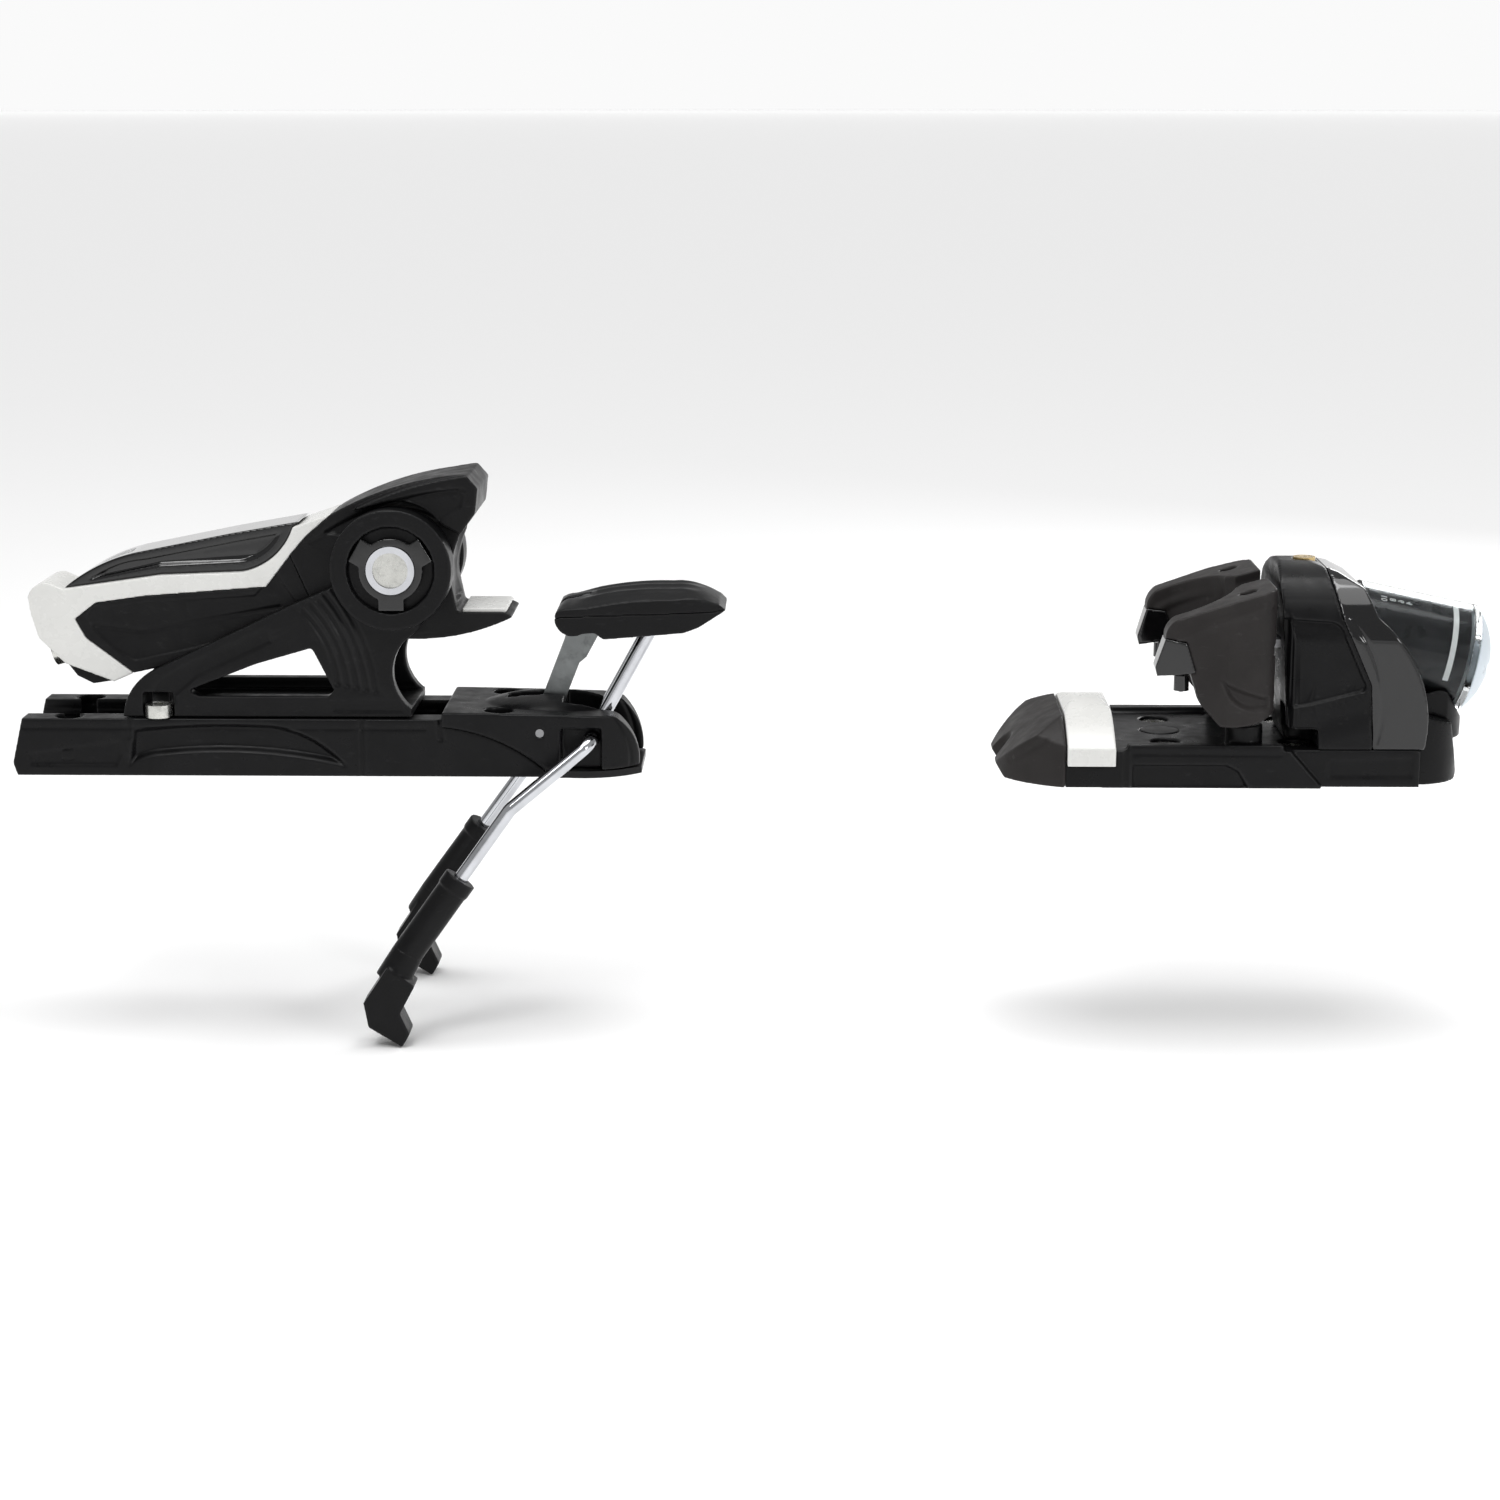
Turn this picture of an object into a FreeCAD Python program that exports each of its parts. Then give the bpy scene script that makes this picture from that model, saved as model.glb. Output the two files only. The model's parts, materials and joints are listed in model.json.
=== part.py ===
"""Alpine step-in ski binding: toe unit and heel unit with ski brake.

Frame: +X towards the ski tip, +Z up from the ski's top face (Z = 0), +Y to the skier's left.
The origin is the centre of the toe unit's four screw holes. Lengths are in millimetres.
"""
import FreeCAD, Part
import Sketcher
import math
import os
import re

Vector = FreeCAD.Vector

SIZES = [
    # heel unit: track and carriage
    ("base_half", 23.0, "half width of the heel track"),
    ("base_top", 21.0, "height of the track's rails"),
    ("base_rear", -438.8, "rear end of the track"),
    ("base_front", -284.0, "front end of the track's rails"),
    ("channel_half", 13.0, "half width of the channel between the rails"),
    ("channel_floor", 6.0, "height of the channel's floor"),
    ("tongue_reach", 3.0, "depth of the grooves in the rails"),
    ("run_gap", 0.3, "gap beside a sliding face"),
    ("pivot_x", -300.8, "heel pivot along the ski"),
    ("pivot_z", 76.0, "heel pivot above the ski"),
    ("boss_radius", 21.7, "radius of the frame's pivot bosses"),
    ("boss_face", 27.0, "outer face of each boss"),
    ("plate_outer", 21.0, "outer face of the frame's side plates"),
    ("plate_inner", 15.5, "inner face of the frame's side plates"),
    ("frame_sole", 21.3, "underside of the frame"),
    ("axle_radius", 8.65, "outside radius of the heel axle"),
    ("axle_bore", 6.35, "bore of the heel axle"),
    ("shaft_gap", 0.06, "radial clearance of a running shaft"),
    ("cup_half", 15.0, "half width of the heel cup between the plates"),
    ("lip_half", 20.0, "half width of the heel cup's lip"),
    ("lever_half", 14.5, "half width of the lever"),
    ("insert_half", 12.0, "half width of the lever's top insert"),
    # heel unit: brake
    ("wire_radius", 2.5, "radius of the brake wires"),
    ("brake_x", -230.0, "brake hinge line along the ski"),
    ("brake_z", 14.0, "brake hinge line above the ski"),
    ("link_x", -248.6, "lower pin of the brake link, along the ski"),
    ("link_z", 16.5, "lower pin of the brake link, above the ski"),
    ("crank_x", -207.7, "pedal bearing of the wires, along the ski"),
    ("crank_z", 54.5, "pedal bearing of the wires, above the ski"),
    ("pedal_pin_x", -231.7, "pin between link and pedal, along the ski"),
    ("pedal_pin_z", 56.8, "pin between link and pedal, above the ski"),
    ("pin_radius", 1.6, "radius of the two link pins"),
    ("eye_clearance", 1.7, "radial play of the link's upper eye"),
    ("housing_half", 25.0, "half width of the brake housing"),
    ("notch_half", 12.5, "half width of the housing's front notch"),
    ("pedal_half", 18.0, "half width of the brake pedal"),
    ("arm_y", 42.0, "distance of the brake arms from the middle"),
    # mounting screws
    ("toe_pitch_x", 46.0, "toe screws, lengthways"),
    ("toe_pitch_y", 40.0, "toe screws, sideways"),
    ("heel_screw_rear", -420.0, "rear heel screws along the ski"),
    ("heel_screw_front", -264.0, "front heel screws along the ski"),
    ("heel_pitch_y", 35.0, "heel screws, sideways"),
    ("hole_radius", 2.75, "clearance hole for a ski screw"),
    ("head_radius", 4.75, "ski screw head radius"),
    ("head_height", 3.4, "ski screw head height"),
    # toe unit
    ("toe_half", 37.0, "half width of the toe base"),
    ("toe_deck", 13.5, "height of the toe base's deck"),
    ("toe_housing_half", 34.0, "half width of the toe housing"),
    ("tube_radius", 20.5, "outside radius of the clear tube"),
    ("tube_wall", 1.2, "wall of the clear tube"),
    ("tube_x", 64.0, "a point on the tube's axis, along the ski"),
    ("tube_z", 45.0, "a point on the tube's axis, above the ski"),
    ("tube_slope", 12.0, "slope of the tube's axis, degrees"),
    ("wing_pin_x", 4.0, "wing pivots along the ski"),
    ("wing_pin_y", 27.0, "wing pivots from the middle"),
    ("wing_pin_radius", 3.0, "radius of the wing pivots"),
]

doc = FreeCAD.newDocument("ski_binding")
sheet = doc.addObject("Spreadsheet::Sheet", "Sizes")
for row, (alias, number, note) in enumerate(SIZES, start=1):
    sheet.set(f"A{row}", note)
    sheet.set(f"B{row}", str(number))
    sheet.setAlias(f"B{row}", alias)
doc.recompute()

ALIASES = {alias for alias, _, _ in SIZES}
NODES = []


def size(alias):
    """The sheet's value for one driving dimension."""
    return float(sheet.get(alias))


def bind(obj, prop, rule):
    """Set a property to a number, or bind it to a rule written with the sheet's aliases."""
    if isinstance(rule, str):
        words = re.sub(r"[a-z_]+", lambda m: ("Sizes." if m.group() in ALIASES else "") + m.group(), rule)
        obj.setExpression(prop, words)
    elif "." in prop:
        obj.setExpression(prop, repr(float(rule)))
    else:
        setattr(obj, prop, rule)


def place(obj, x=0, y=0, z=0, rotation=None):
    """Give an object its turn, then bind its position."""
    if rotation:
        obj.Placement = FreeCAD.Placement(Vector(), rotation)
    for axis, rule in zip("xyz", (x, y, z)):
        bind(obj, f"Placement.Base.{axis}", rule)
    return obj


ALONG = {"X": FreeCAD.Rotation(Vector(0, 1, 0), 90), "Y": FreeCAD.Rotation(Vector(1, 0, 0), -90), "Z": None}


def node(obj, name):
    """Name an object as one finished sub-part."""
    obj.Label = name
    NODES.append(obj)
    return obj


def unique(name):
    """A free internal name that starts with the given words."""
    return name if doc.getObject(name) is None else f"{name}_{len(doc.Objects)}"


def cylinder(name, radius, height, x, y, z, along="Z"):
    """A cylinder that starts at a point and runs along an axis or a rotation."""
    obj = doc.addObject("Part::Cylinder", unique(name))
    bind(obj, "Radius", radius)
    bind(obj, "Height", height)
    return place(obj, x, y, z, ALONG[along] if isinstance(along, str) else along)


def across(name, radius, half, x, z):
    """A cylinder along Y, centred on the middle plane."""
    return cylinder(name, radius, f"2 * ({half})", x, f"-({half})", z, "Y")


def box(name, low, high):
    """A box between two corners whose numbers are all plain."""
    obj = doc.addObject("Part::Box", unique(name))
    for prop, a, b in zip(("Length", "Width", "Height"), low, high):
        bind(obj, prop, f"({b}) - ({a})")
    return place(obj, *[str(value) for value in low])


def cut(name, base, *tools):
    """Base less every tool."""
    tool = tools[0] if len(tools) == 1 else fuse(name + "_tools", *tools)
    obj = doc.addObject("Part::Cut", unique(name))
    obj.Base = base
    obj.Tool = tool
    return obj


def fuse(name, *shapes):
    """The union of several shapes."""
    obj = doc.addObject("Part::MultiFuse", unique(name))
    obj.Shapes = list(shapes)
    return obj


def common(name, *shapes):
    """What several shapes share."""
    obj = doc.addObject("Part::MultiCommon", unique(name))
    obj.Shapes = list(shapes)
    return obj


def mirrored(name, source):
    """The same piece on the other side of the middle plane."""
    obj = doc.addObject("Part::Mirroring", unique(name))
    obj.Source = source
    obj.Normal = Vector(0, 1, 0)
    return obj


def corner_points(outline):
    """The corners of a closed outline, whose arc entries are (mid, end)."""
    return [Vector(*(entry[1] if isinstance(entry[0], tuple) else entry), 0) for entry in outline]


def edges_of(outline):
    """Line and arc edges of a closed outline. An entry (mid, end) is an arc through mid."""
    ends = corner_points(outline)
    edges = []
    for index, entry in enumerate(outline):
        if isinstance(entry[0], tuple):
            edges.append(Part.Arc(ends[index - 1], Vector(*entry[0], 0), ends[index]))
        else:
            edges.append(Part.LineSegment(ends[index - 1], ends[index]))
    return edges


def end_at(sketch, edge, corner):
    """Which end of a sketch edge lies on a corner: 1 or 2."""
    return 1 if sketch.getPoint(edge, 1).distanceToPoint(corner) < 1e-6 else 2


def slab(name, plane, outlines, thickness, offset=None):
    """A body padded from closed outlines: centred on its plane, or from an offset along +normal."""
    body = doc.addObject("PartDesign::Body", unique(name))
    sketch = body.newObject("Sketcher::SketchObject", body.Name + "_outline")
    origin = [item for item in body.Origin.OriginFeatures if item.Role == plane + "_Plane"][0]
    sketch.AttachmentSupport = [(origin, "")]
    sketch.MapMode = "FlatFace"
    if offset is not None:
        bind(sketch, "AttachmentOffset.Base.z", offset)
    for outline in outlines:
        first = sketch.GeometryCount
        corners = corner_points(outline)
        sketch.addGeometry(edges_of(outline))
        for index, corner in enumerate(corners):
            edge = first + index
            after = first + (index + 1) % len(corners)
            here = end_at(sketch, edge, corner)
            there = end_at(sketch, after, corner)
            sketch.addConstraint(Sketcher.Constraint("Coincident", edge, here, after, there))
        for index in range(len(corners)):
            sketch.addConstraint(Sketcher.Constraint("Block", first + index))
    pad = body.newObject("PartDesign::Pad", body.Name + "_pad")
    pad.Profile = sketch
    bind(pad, "Length", thickness)
    pad.Midplane = offset is None
    sketch.Visibility = False
    return body


def rounded_path(points, bend):
    """A wire of straight runs joined by tangent arcs of one bend radius."""
    corners = [Vector(*point) for point in points]
    edges = []
    start = corners[0]
    for before, corner, after in zip(corners, corners[1:], corners[2:]):
        back = (before - corner).normalize()
        ahead = (after - corner).normalize()
        turn = math.pi - back.getAngle(ahead)
        trim = bend * math.tan(turn / 2)
        arc_start = corner + back * trim
        arc_end = corner + ahead * trim
        bisector = (back + ahead).normalize()
        arc_mid = corner + bisector * (bend / math.cos(turn / 2) - bend)
        edges.append(Part.LineSegment(start, arc_start).toShape())
        edges.append(Part.Arc(arc_start, arc_mid, arc_end).toShape())
        start = arc_end
    edges.append(Part.LineSegment(start, corners[-1]).toShape())
    return Part.Wire(edges)


def round_bar(name, points, radius, bend):
    """A bent round bar along a path."""
    path = rounded_path(points, bend)
    first = path.Edges[0]
    heading = first.tangentAt(first.FirstParameter)
    section = Part.Wire(Part.makeCircle(radius, Vector(*points[0]), heading))
    obj = doc.addObject("Part::Feature", unique(name))
    obj.Shape = path.makePipeShell([section], True, False)
    return obj


def coil_spring(name, turns, length, mean_radius, wire, base, rotation):
    """A compression or torsion spring: a helix swept with its wire."""
    helix = Part.makeHelix(length / turns, length, mean_radius)
    section = Part.Wire(Part.makeCircle(wire, Vector(mean_radius, 0, 0), Vector(0, 1, 0)))
    obj = doc.addObject("Part::Feature", unique(name))
    obj.Shape = Part.Wire(helix).makePipeShell([section], True, True)
    obj.Placement = FreeCAD.Placement(base, rotation)
    return obj


def ski_screw(name, x, y, underside):
    """A ski screw's head on its seat. Its shank is left out, so that the mounting hole stays open."""
    head = cylinder(name + "_head", "head_radius", "head_height", x, y, underside)
    drive = box(name + "_drive", (f"({x}) - 2.4", f"({y}) - 0.7", f"({underside}) + 1.8"),
                (f"({x}) + 2.4", f"({y}) + 0.7", f"({underside}) + 4"))
    cross = box(name + "_cross", (f"({x}) - 0.7", f"({y}) - 2.4", f"({underside}) + 1.8"),
                (f"({x}) + 0.7", f"({y}) + 2.4", f"({underside}) + 4"))
    return cut(name, head, drive, cross)


# ---------------------------------------------------------------- heel unit: track
RAIL_TOP = size("base_top")
TRACK_SIDE = [(-440.2, 4.5), (-438.8, 0.0), (-247.0, 0.0), (-247.0, 2.4),
              ((-263.5, 13.2), (-284.0, 18.6)), (-284.0, RAIL_TOP), (-436.3, RAIL_TOP)]
SEAT = 5.0


def heel_track():
    """The track: two grooved rails either side of a channel, with a tapering front end."""
    blank = slab("track_blank", "XZ", [TRACK_SIDE], "2 * base_half")
    channel = box("track_channel", (-450, "-channel_half", "channel_floor"), (-284, "channel_half", 30))
    groove = box("track_groove", (-450, "-channel_half - tongue_reach", 12),
                 (-284, "channel_half + tongue_reach", 15))
    holes = []
    for x in ("heel_screw_rear", "heel_screw_front"):
        for side in (-1, 1):
            y = f"{side} * heel_pitch_y / 2"
            holes.append(cylinder("track_hole", "hole_radius", 60, x, y, -1))
            holes.append(cylinder("track_counterbore", "head_radius + 0.25", 60, x, y, SEAT))
    return cut("heel_track_solid", blank, channel, groove, *holes)


node(heel_track(), "heel_track")

rack_teeth = [box("rack_tooth", (-418 + 4 * index, -5, 8.4), (-416.2 + 4 * index, 5, 9.3))
              for index in range(26)]
node(fuse("rack", box("rack_bar", (-420, -5, "channel_floor"), (-312, 5, 8.4)), *rack_teeth), "length_rack")

heel_screw_set = [ski_screw("heel_screw", x, f"{side} * heel_pitch_y / 2", SEAT)
                  for x in ("heel_screw_rear", "heel_screw_front") for side in (-1, 1)]
node(fuse("heel_screws_solid", *heel_screw_set), "heel_mounting_screws")

# ---------------------------------------------------------------- heel unit: carriage
PIVOT = (size("pivot_x"), size("pivot_z"))
SOLE = size("frame_sole")
FRAME_SIDE = [(-399.7, SOLE), ((-396.6, 31.0), (-388.0, 38.4)), (-337.7, 62.3), (-321.0, 69.6),
              (-300.8, 90.0), (-284.5, 70.0), ((-289.0, 58.0), (-296.7, 49.7)),
              ((-301.6, 39.0), (-295.2, 24.6)), (-295.2, SOLE)]
WINDOW = [(-376.0, 31.0), (-351.0, 40.8), (-330.7, 46.7), (-323.0, 31.0), (-325.0, 29.0), (-372.0, 29.0)]


def heel_frame():
    """The carriage frame: two windowed side plates with pivot bosses, joined by a floor."""
    plates = slab("frame_plates", "XZ", [FRAME_SIDE], "2 * plate_outer")
    window = slab("frame_window", "XZ", [WINDOW], 80)
    bosses = across("frame_bosses", "boss_radius", "boss_face", "pivot_x", "pivot_z")
    inside = box("frame_inside", (-405, "-plate_inner", 24.6), (-270, "plate_inner", 110))
    axle_hole = across("frame_axle_hole", "axle_radius", "40", "pivot_x", "pivot_z")
    recess = cylinder("frame_recess", 15.6, 3.4, "pivot_x", "-boss_face - 0.1", "pivot_z", "Y")
    recess_far = cylinder("frame_recess_far", 15.6, 3.4, "pivot_x", "boss_face - 3.3", "pivot_z", "Y")
    pockets = []
    for side in (-1, 1):
        pockets.append(cylinder("frame_screw_pocket", 5.6, 9, -386.7, side * 20.4, 21.4))
    blank = fuse("frame_blank", plates, bosses)
    return cut("heel_frame_solid", blank, inside, window, axle_hole, recess, recess_far, *pockets)


node(heel_frame(), "heel_frame")

slide_block = box("slide_block", (-392, "-channel_half + run_gap", 9.8), (-304, "channel_half - run_gap", SOLE))
slide_tongue = box("slide_tongue", (-392, "-channel_half - tongue_reach + run_gap", 12.3),
                   (-304, "channel_half + tongue_reach - run_gap", 14.7))
slide_bore = cylinder("slide_bore", 5.0, 58, -393, 0, 15.5, "X")
slide_thread = cylinder("slide_thread", 3.0, 120, -400, 0, 15.5, "X")
node(cut("slide", fuse("slide_blank", slide_block, slide_tongue), slide_bore, slide_thread), "carriage_slide")
node(coil_spring("pressure_coil", 16, 52.0, 4.1, 0.7, Vector(-389, 0, 15.5), ALONG["X"]), "pressure_spring")

adjuster = fuse("adjuster_blank", cylinder("adjuster_shank", 2.94, 88, -396, 0, 15.5, "X"),
                cylinder("adjuster_head", 4.4, 4.0, -400, 0, 15.5, "X"))
node(cut("adjuster", adjuster, box("adjuster_slot", (-401, -3.4, 14.9), (-398.4, 3.4, 16.1))), "length_screw")

clamps = []
for side in (-1, 1):
    head = cylinder("clamp_head", 4.9, 4.6, -386.7, side * 20.4, 21.5)
    socket = cylinder("clamp_socket", 2.2, 3, -386.7, side * 20.4, 24.0)
    clamps.append(cut("clamp_screw", head, socket))
node(fuse("clamp_pair", *clamps), "carriage_clamp_screws")

axle_tube = across("axle_tube", "axle_radius", "boss_face + 0.6", "pivot_x", "pivot_z")
node(cut("axle", axle_tube, across("axle_bore_tool", "axle_bore", "40", "pivot_x", "pivot_z")), "heel_axle")
node(across("axle_core_bar", "axle_bore", "boss_face - 0.4", "pivot_x", "pivot_z"), "axle_core")


def pivot_cap(side):
    """The three-lobed cap around one end of the axle."""
    start = "-boss_face - 0.0" if side < 0 else "boss_face - 2.6"
    disc = cylinder("cap_disc", 11.4, 2.6, "pivot_x", start, "pivot_z", "Y")
    hole = across("cap_hole", "axle_radius", "40", "pivot_x", "pivot_z")
    lobes = []
    for angle in (30, 150, 270):
        lobe = box("cap_lobe", (-4.6, 0, 0), (4.6, 2.6, 14.6))
        turn = FreeCAD.Rotation(Vector(0, 1, 0), 90 - angle)
        shift = turn.multVec(Vector(-4.6, 0, 0))
        place(lobe, f"pivot_x + ({shift.x})", start, f"pivot_z + ({shift.z})", turn)
        lobes.append(lobe)
    return cut("cap", fuse("cap_blank", disc, *lobes), hole)


node(fuse("pivot_cap_pair", pivot_cap(-1), pivot_cap(1)), "pivot_caps")
cam_bar = across("cam_bar", 12.0, "9.5", "pivot_x", "pivot_z")
cam_flat = box("cam_flat", (-320, -20, 60), (-311.2, 20, 92))
cam_hole = across("cam_hole", "axle_radius", "40", "pivot_x", "pivot_z")
node(cut("cam", cam_bar, cam_flat, cam_hole), "release_cam")

# ---------------------------------------------------------------- heel unit: cup and lever
LEVER_SLOPE = math.degrees(math.atan2(34.0, 126.2))
SCREW_POINT = Vector(-427.0, 0, 42.0)
ALONG_LEVER = FreeCAD.Rotation(Vector(0, 1, 0), 90 - LEVER_SLOPE)


def on_lever(distance):
    """A point on the lever's spring axis, measured from its rear screw."""
    return SCREW_POINT + ALONG_LEVER.multVec(Vector(0, 0, distance))


def lever_bar(name, radius, start, length):
    """A cylinder on the lever's spring axis."""
    base = on_lever(start)
    return cylinder(name, radius, length, base.x, base.y, base.z, ALONG_LEVER)


CUP_SIDE = [(-338.5, 79.6), (-332.5, 86.5), (-323.0, 94.6), ((-298.0, 105.0), (-273.8, 109.0)), (-269.9, 104.6),
            (-270.9, 95.6), ((-277.4, 86.0), (-280.5, 69.0)), (-278.5, 59.2), (-262.0, 59.2), (-258.2, 57.4),
            ((-276.0, 51.0), (-296.6, 49.2)), (-314.0, 52.0), (-330.0, 60.0)]
LIP_SIDE = [(-315.0, 96.4), ((-298.0, 103.6), (-273.8, 109.0)), (-269.9, 104.6), (-270.9, 95.6), (-276.4, 88.0),
            (-283.0, 91.5), ((-292.0, 98.8), (-304.0, 99.2))]
LEVER_SIDE = [(-434.1, 64.0), ((-431.5, 67.8), (-426.4, 69.1)), (-421.3, 66.9), (-386.0, 72.0), (-356.0, 73.3),
              ((-347.0, 77.0), (-337.3, 89.6)), (-323.0, 94.6), (-332.5, 86.5), (-338.5, 79.6), (-330.0, 60.0),
              (-340.0, 50.0), (-372.0, 41.5), (-396.7, 36.2), (-404.0, 33.0), (-421.7, 39.7), (-430.8, 49.0),
              (-433.3, 58.0)]
PANEL_SIDE = [(-417.3, 56.0), (-409.5, 62.0), (-392.0, 64.5), (-347.5, 68.0), (-338.5, 79.6), (-330.0, 60.0),
              (-340.0, 50.0), (-372.0, 41.5), (-396.7, 36.2), (-413.6, 49.1)]
INSERT_SIDE = [(-421.3, 66.9), ((-408.0, 75.4), (-393.0, 80.3)), (-360.0, 87.0), (-335.0, 91.4), (-337.3, 89.6),
               ((-347.0, 77.0), (-356.0, 73.3)), (-386.0, 72.0)]
PLUG_SIDE = [(-421.7, 39.7), (-417.9, 34.6), (-412.2, 31.7), (-404.0, 33.0)]

PAD_SEAT_SIDE = [(-277.0, 57.0), (-263.0, 57.0), (-260.2, 59.8), (-260.2, 62.0), (-277.0, 62.0)]
SPUR_PAD_SIDE = [(-276.8, 57.0), (-263.0, 57.0), (-260.6, 59.4), (-261.6, 60.4), (-276.8, 60.4)]


def heel_cup():
    """The cup: hub, jaw with a wider lip, and the spur that the boot heel treads on."""
    core = slab("cup_core", "XZ", [CUP_SIDE], "2 * cup_half")
    lip = slab("cup_lip", "XZ", [LIP_SIDE], "2 * lip_half")
    bore = across("cup_bore", "axle_radius + shaft_gap", "40", "pivot_x", "pivot_z")
    cam_room = across("cup_cam_room", 12.6, "9.9", "pivot_x", "pivot_z")
    piston_room = lever_bar("cup_piston_room", 9.4, 80, 40)
    cradle = cylinder("cup_cradle", 30.0, 26, -251.0, 0, 62.0)
    pad_seat = slab("cup_pad_seat", "XZ", [PAD_SEAT_SIDE], "2 * cup_half - 3")
    return cut("heel_cup_solid", fuse("cup_blank", core, lip), bore, cam_room, piston_room, cradle, pad_seat)


node(heel_cup(), "heel_cup")
node(slab("spur_pad_body", "XZ", [SPUR_PAD_SIDE], "2 * cup_half - 3.2"), "spur_pad")

lever_core = slab("lever_core", "XZ", [PANEL_SIDE], "2 * lever_half - 0.4")
lever_chamber = lever_bar("lever_chamber", 9.4, 16, 108)
band_screw_hole = lever_bar("band_screw_hole", 5.4, -12, 40)
node(cut("lever_core_cut", lever_core, lever_chamber, band_screw_hole), "lever_housing")
band_blank = slab("band_blank", "XZ", [LEVER_SIDE], "2 * lever_half")
band_window = slab("band_window", "XZ", [PANEL_SIDE], 60)
node(cut("band", band_blank, band_window, band_screw_hole, lever_chamber), "lever_band")
top_insert = slab("insert_body", "XZ", [INSERT_SIDE], "2 * insert_half")
window_seat = box("window_seat", (-412, -4, 75.2), (-398, 4, 90))
node(cut("top_insert", top_insert, window_seat), "lever_top_insert")
window_blank = box("window_blank", (-411.9, -3.9, 75.2), (-398.1, 3.9, 90))
node(common("window_pane", window_blank, slab("window_side", "XZ", [INSERT_SIDE], "2 * insert_half")),
     "heel_scale_window")
node(cut("plug", slab("plug_body", "XZ", [PLUG_SIDE], "2 * lever_half - 6"), band_screw_hole), "lever_end_plug")

node(coil_spring("heel_coil", 8, 49.0, 6.9, 1.7, on_lever(33), ALONG_LEVER), "heel_spring")
piston = fuse("piston_blank", lever_bar("piston_head", 9.2, 88.5, 8), lever_bar("piston_nose", 6.0, 96.5, 21.5))
node(piston, "spring_piston")
screw_head = lever_bar("screw_head", 5.2, -1.5, 8)
screw_thread = lever_bar("screw_thread", 3.4, 6.5, 24)
slot_base = on_lever(-2)
screw_slot = box("screw_slot", (-4, -0.7, 0), (4, 0.7, 2.8))
screw_offset = ALONG_LEVER.multVec(Vector(-4, 0, 0))
place(screw_slot, slot_base.x + screw_offset.x, -0.7, slot_base.z + screw_offset.z, ALONG_LEVER)
node(cut("heel_screw", fuse("heel_screw_blank", screw_head, screw_thread), screw_slot), "heel_release_screw")
heel_nut_thread = lever_bar("nut_thread", 3.46, 10, 30)
node(cut("heel_nut", lever_bar("nut_disc", 9.1, 22, 5), heel_nut_thread), "heel_release_nut")

# ---------------------------------------------------------------- heel unit: brake
HOUSING_SIDE = [(-284.0, 18.7), ((-263.4, 13.4), (-246.7, 2.9)), (-213.2, 2.9),
                ((-215.2, 14.5), (-220.6, 21.6)),
                ((-223.0, 22.6), (-226.0, 22.8)), (-254.0, 23.5), (-284.0, 24.0)]
HOUSING_PLAN = [(-284.0, -25.0), (-238.0, -25.0), ((-222.0, -22.6), (-212.6, -14.0)), (-212.6, 14.0),
                ((-222.0, 22.6), (-238.0, 25.0)), (-284.0, 25.0)]
BOTTOM_PLAN = [(-246.6, -24.0), (-238.0, -24.0), ((-222.0, -22.0), (-212.4, -14.6)), (-212.4, 14.6),
               ((-222.0, 22.0), (-238.0, 24.0)), (-246.6, 24.0)]


def brake_housing():
    """The brake housing: a hood with two front lobes, open between them for wires and link."""
    side = slab("housing_side", "XZ", [HOUSING_SIDE], "2 * housing_half")
    plan = slab("housing_plan", "XY", [HOUSING_PLAN], 60, 0)
    notch = box("housing_notch", (-241, "-notch_half", 0), (-205, "notch_half", 40))
    link_slot = box("housing_link_slot", (-262, -4.4, 0), (-205, 4.4, 40))
    hinge = across("housing_hinge", "wire_radius + shaft_gap", "40", "brake_x", "brake_z")
    bend_room = across("housing_bend_room", "wire_radius + 1.3", "notch_half + 2.8", "brake_x", "brake_z")
    pin = across("housing_pin_hole", "pin_radius", "40", "link_x", "link_z")
    windows = []
    holes = []
    for side_sign in (-1, 1):
        low = "-housing_half - 1" if side_sign < 0 else "housing_half - 4.5"
        high = "-housing_half + 4.5" if side_sign < 0 else "housing_half + 1"
        windows.append(box("housing_window", (-241, low, 0), (-226.5, high, 18.5)))
        y = f"{side_sign} * heel_pitch_y / 2"
        holes.append(cylinder("housing_counterbore", "head_radius + 0.25", 60, "heel_screw_front", y, SEAT))
    blank = common("housing_blank", side, plan)
    return cut("brake_housing_solid", blank, notch, link_slot, hinge, bend_room, pin, *windows, *holes)


node(brake_housing(), "brake_housing")
plate = slab("brake_plate_body", "XY", [BOTTOM_PLAN], 2.5, 0)
node(plate, "brake_bottom_plate")


def brake_wire(side):
    """One brake wire: pedal bearing, crank, hinge through the housing, and the arm."""
    hinge_x, hinge_z = size("brake_x"), size("brake_z")
    crank_x, crank_z = size("crank_x"), size("crank_z")
    points = [(crank_x, 2.0, crank_z), (crank_x, 9.5, crank_z),
              (hinge_x, 9.5, hinge_z), (hinge_x, 30.5, hinge_z),
              (-258.5, 38.5, -8.5), (-281.5, size("arm_y"), -40.5)]
    return round_bar("wire", [(x, side * y, z) for x, y, z in points], size("wire_radius"), 5.2)


def arm_frame(side):
    """Where the arm's last straight starts, and the turn that lays +Z along it."""
    start = Vector(-258.5, side * 38.5, -8.5)
    end = Vector(-281.5, side * size("arm_y"), -40.5)
    return end, FreeCAD.Rotation(Vector(0, 0, 1), end - start)


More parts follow.
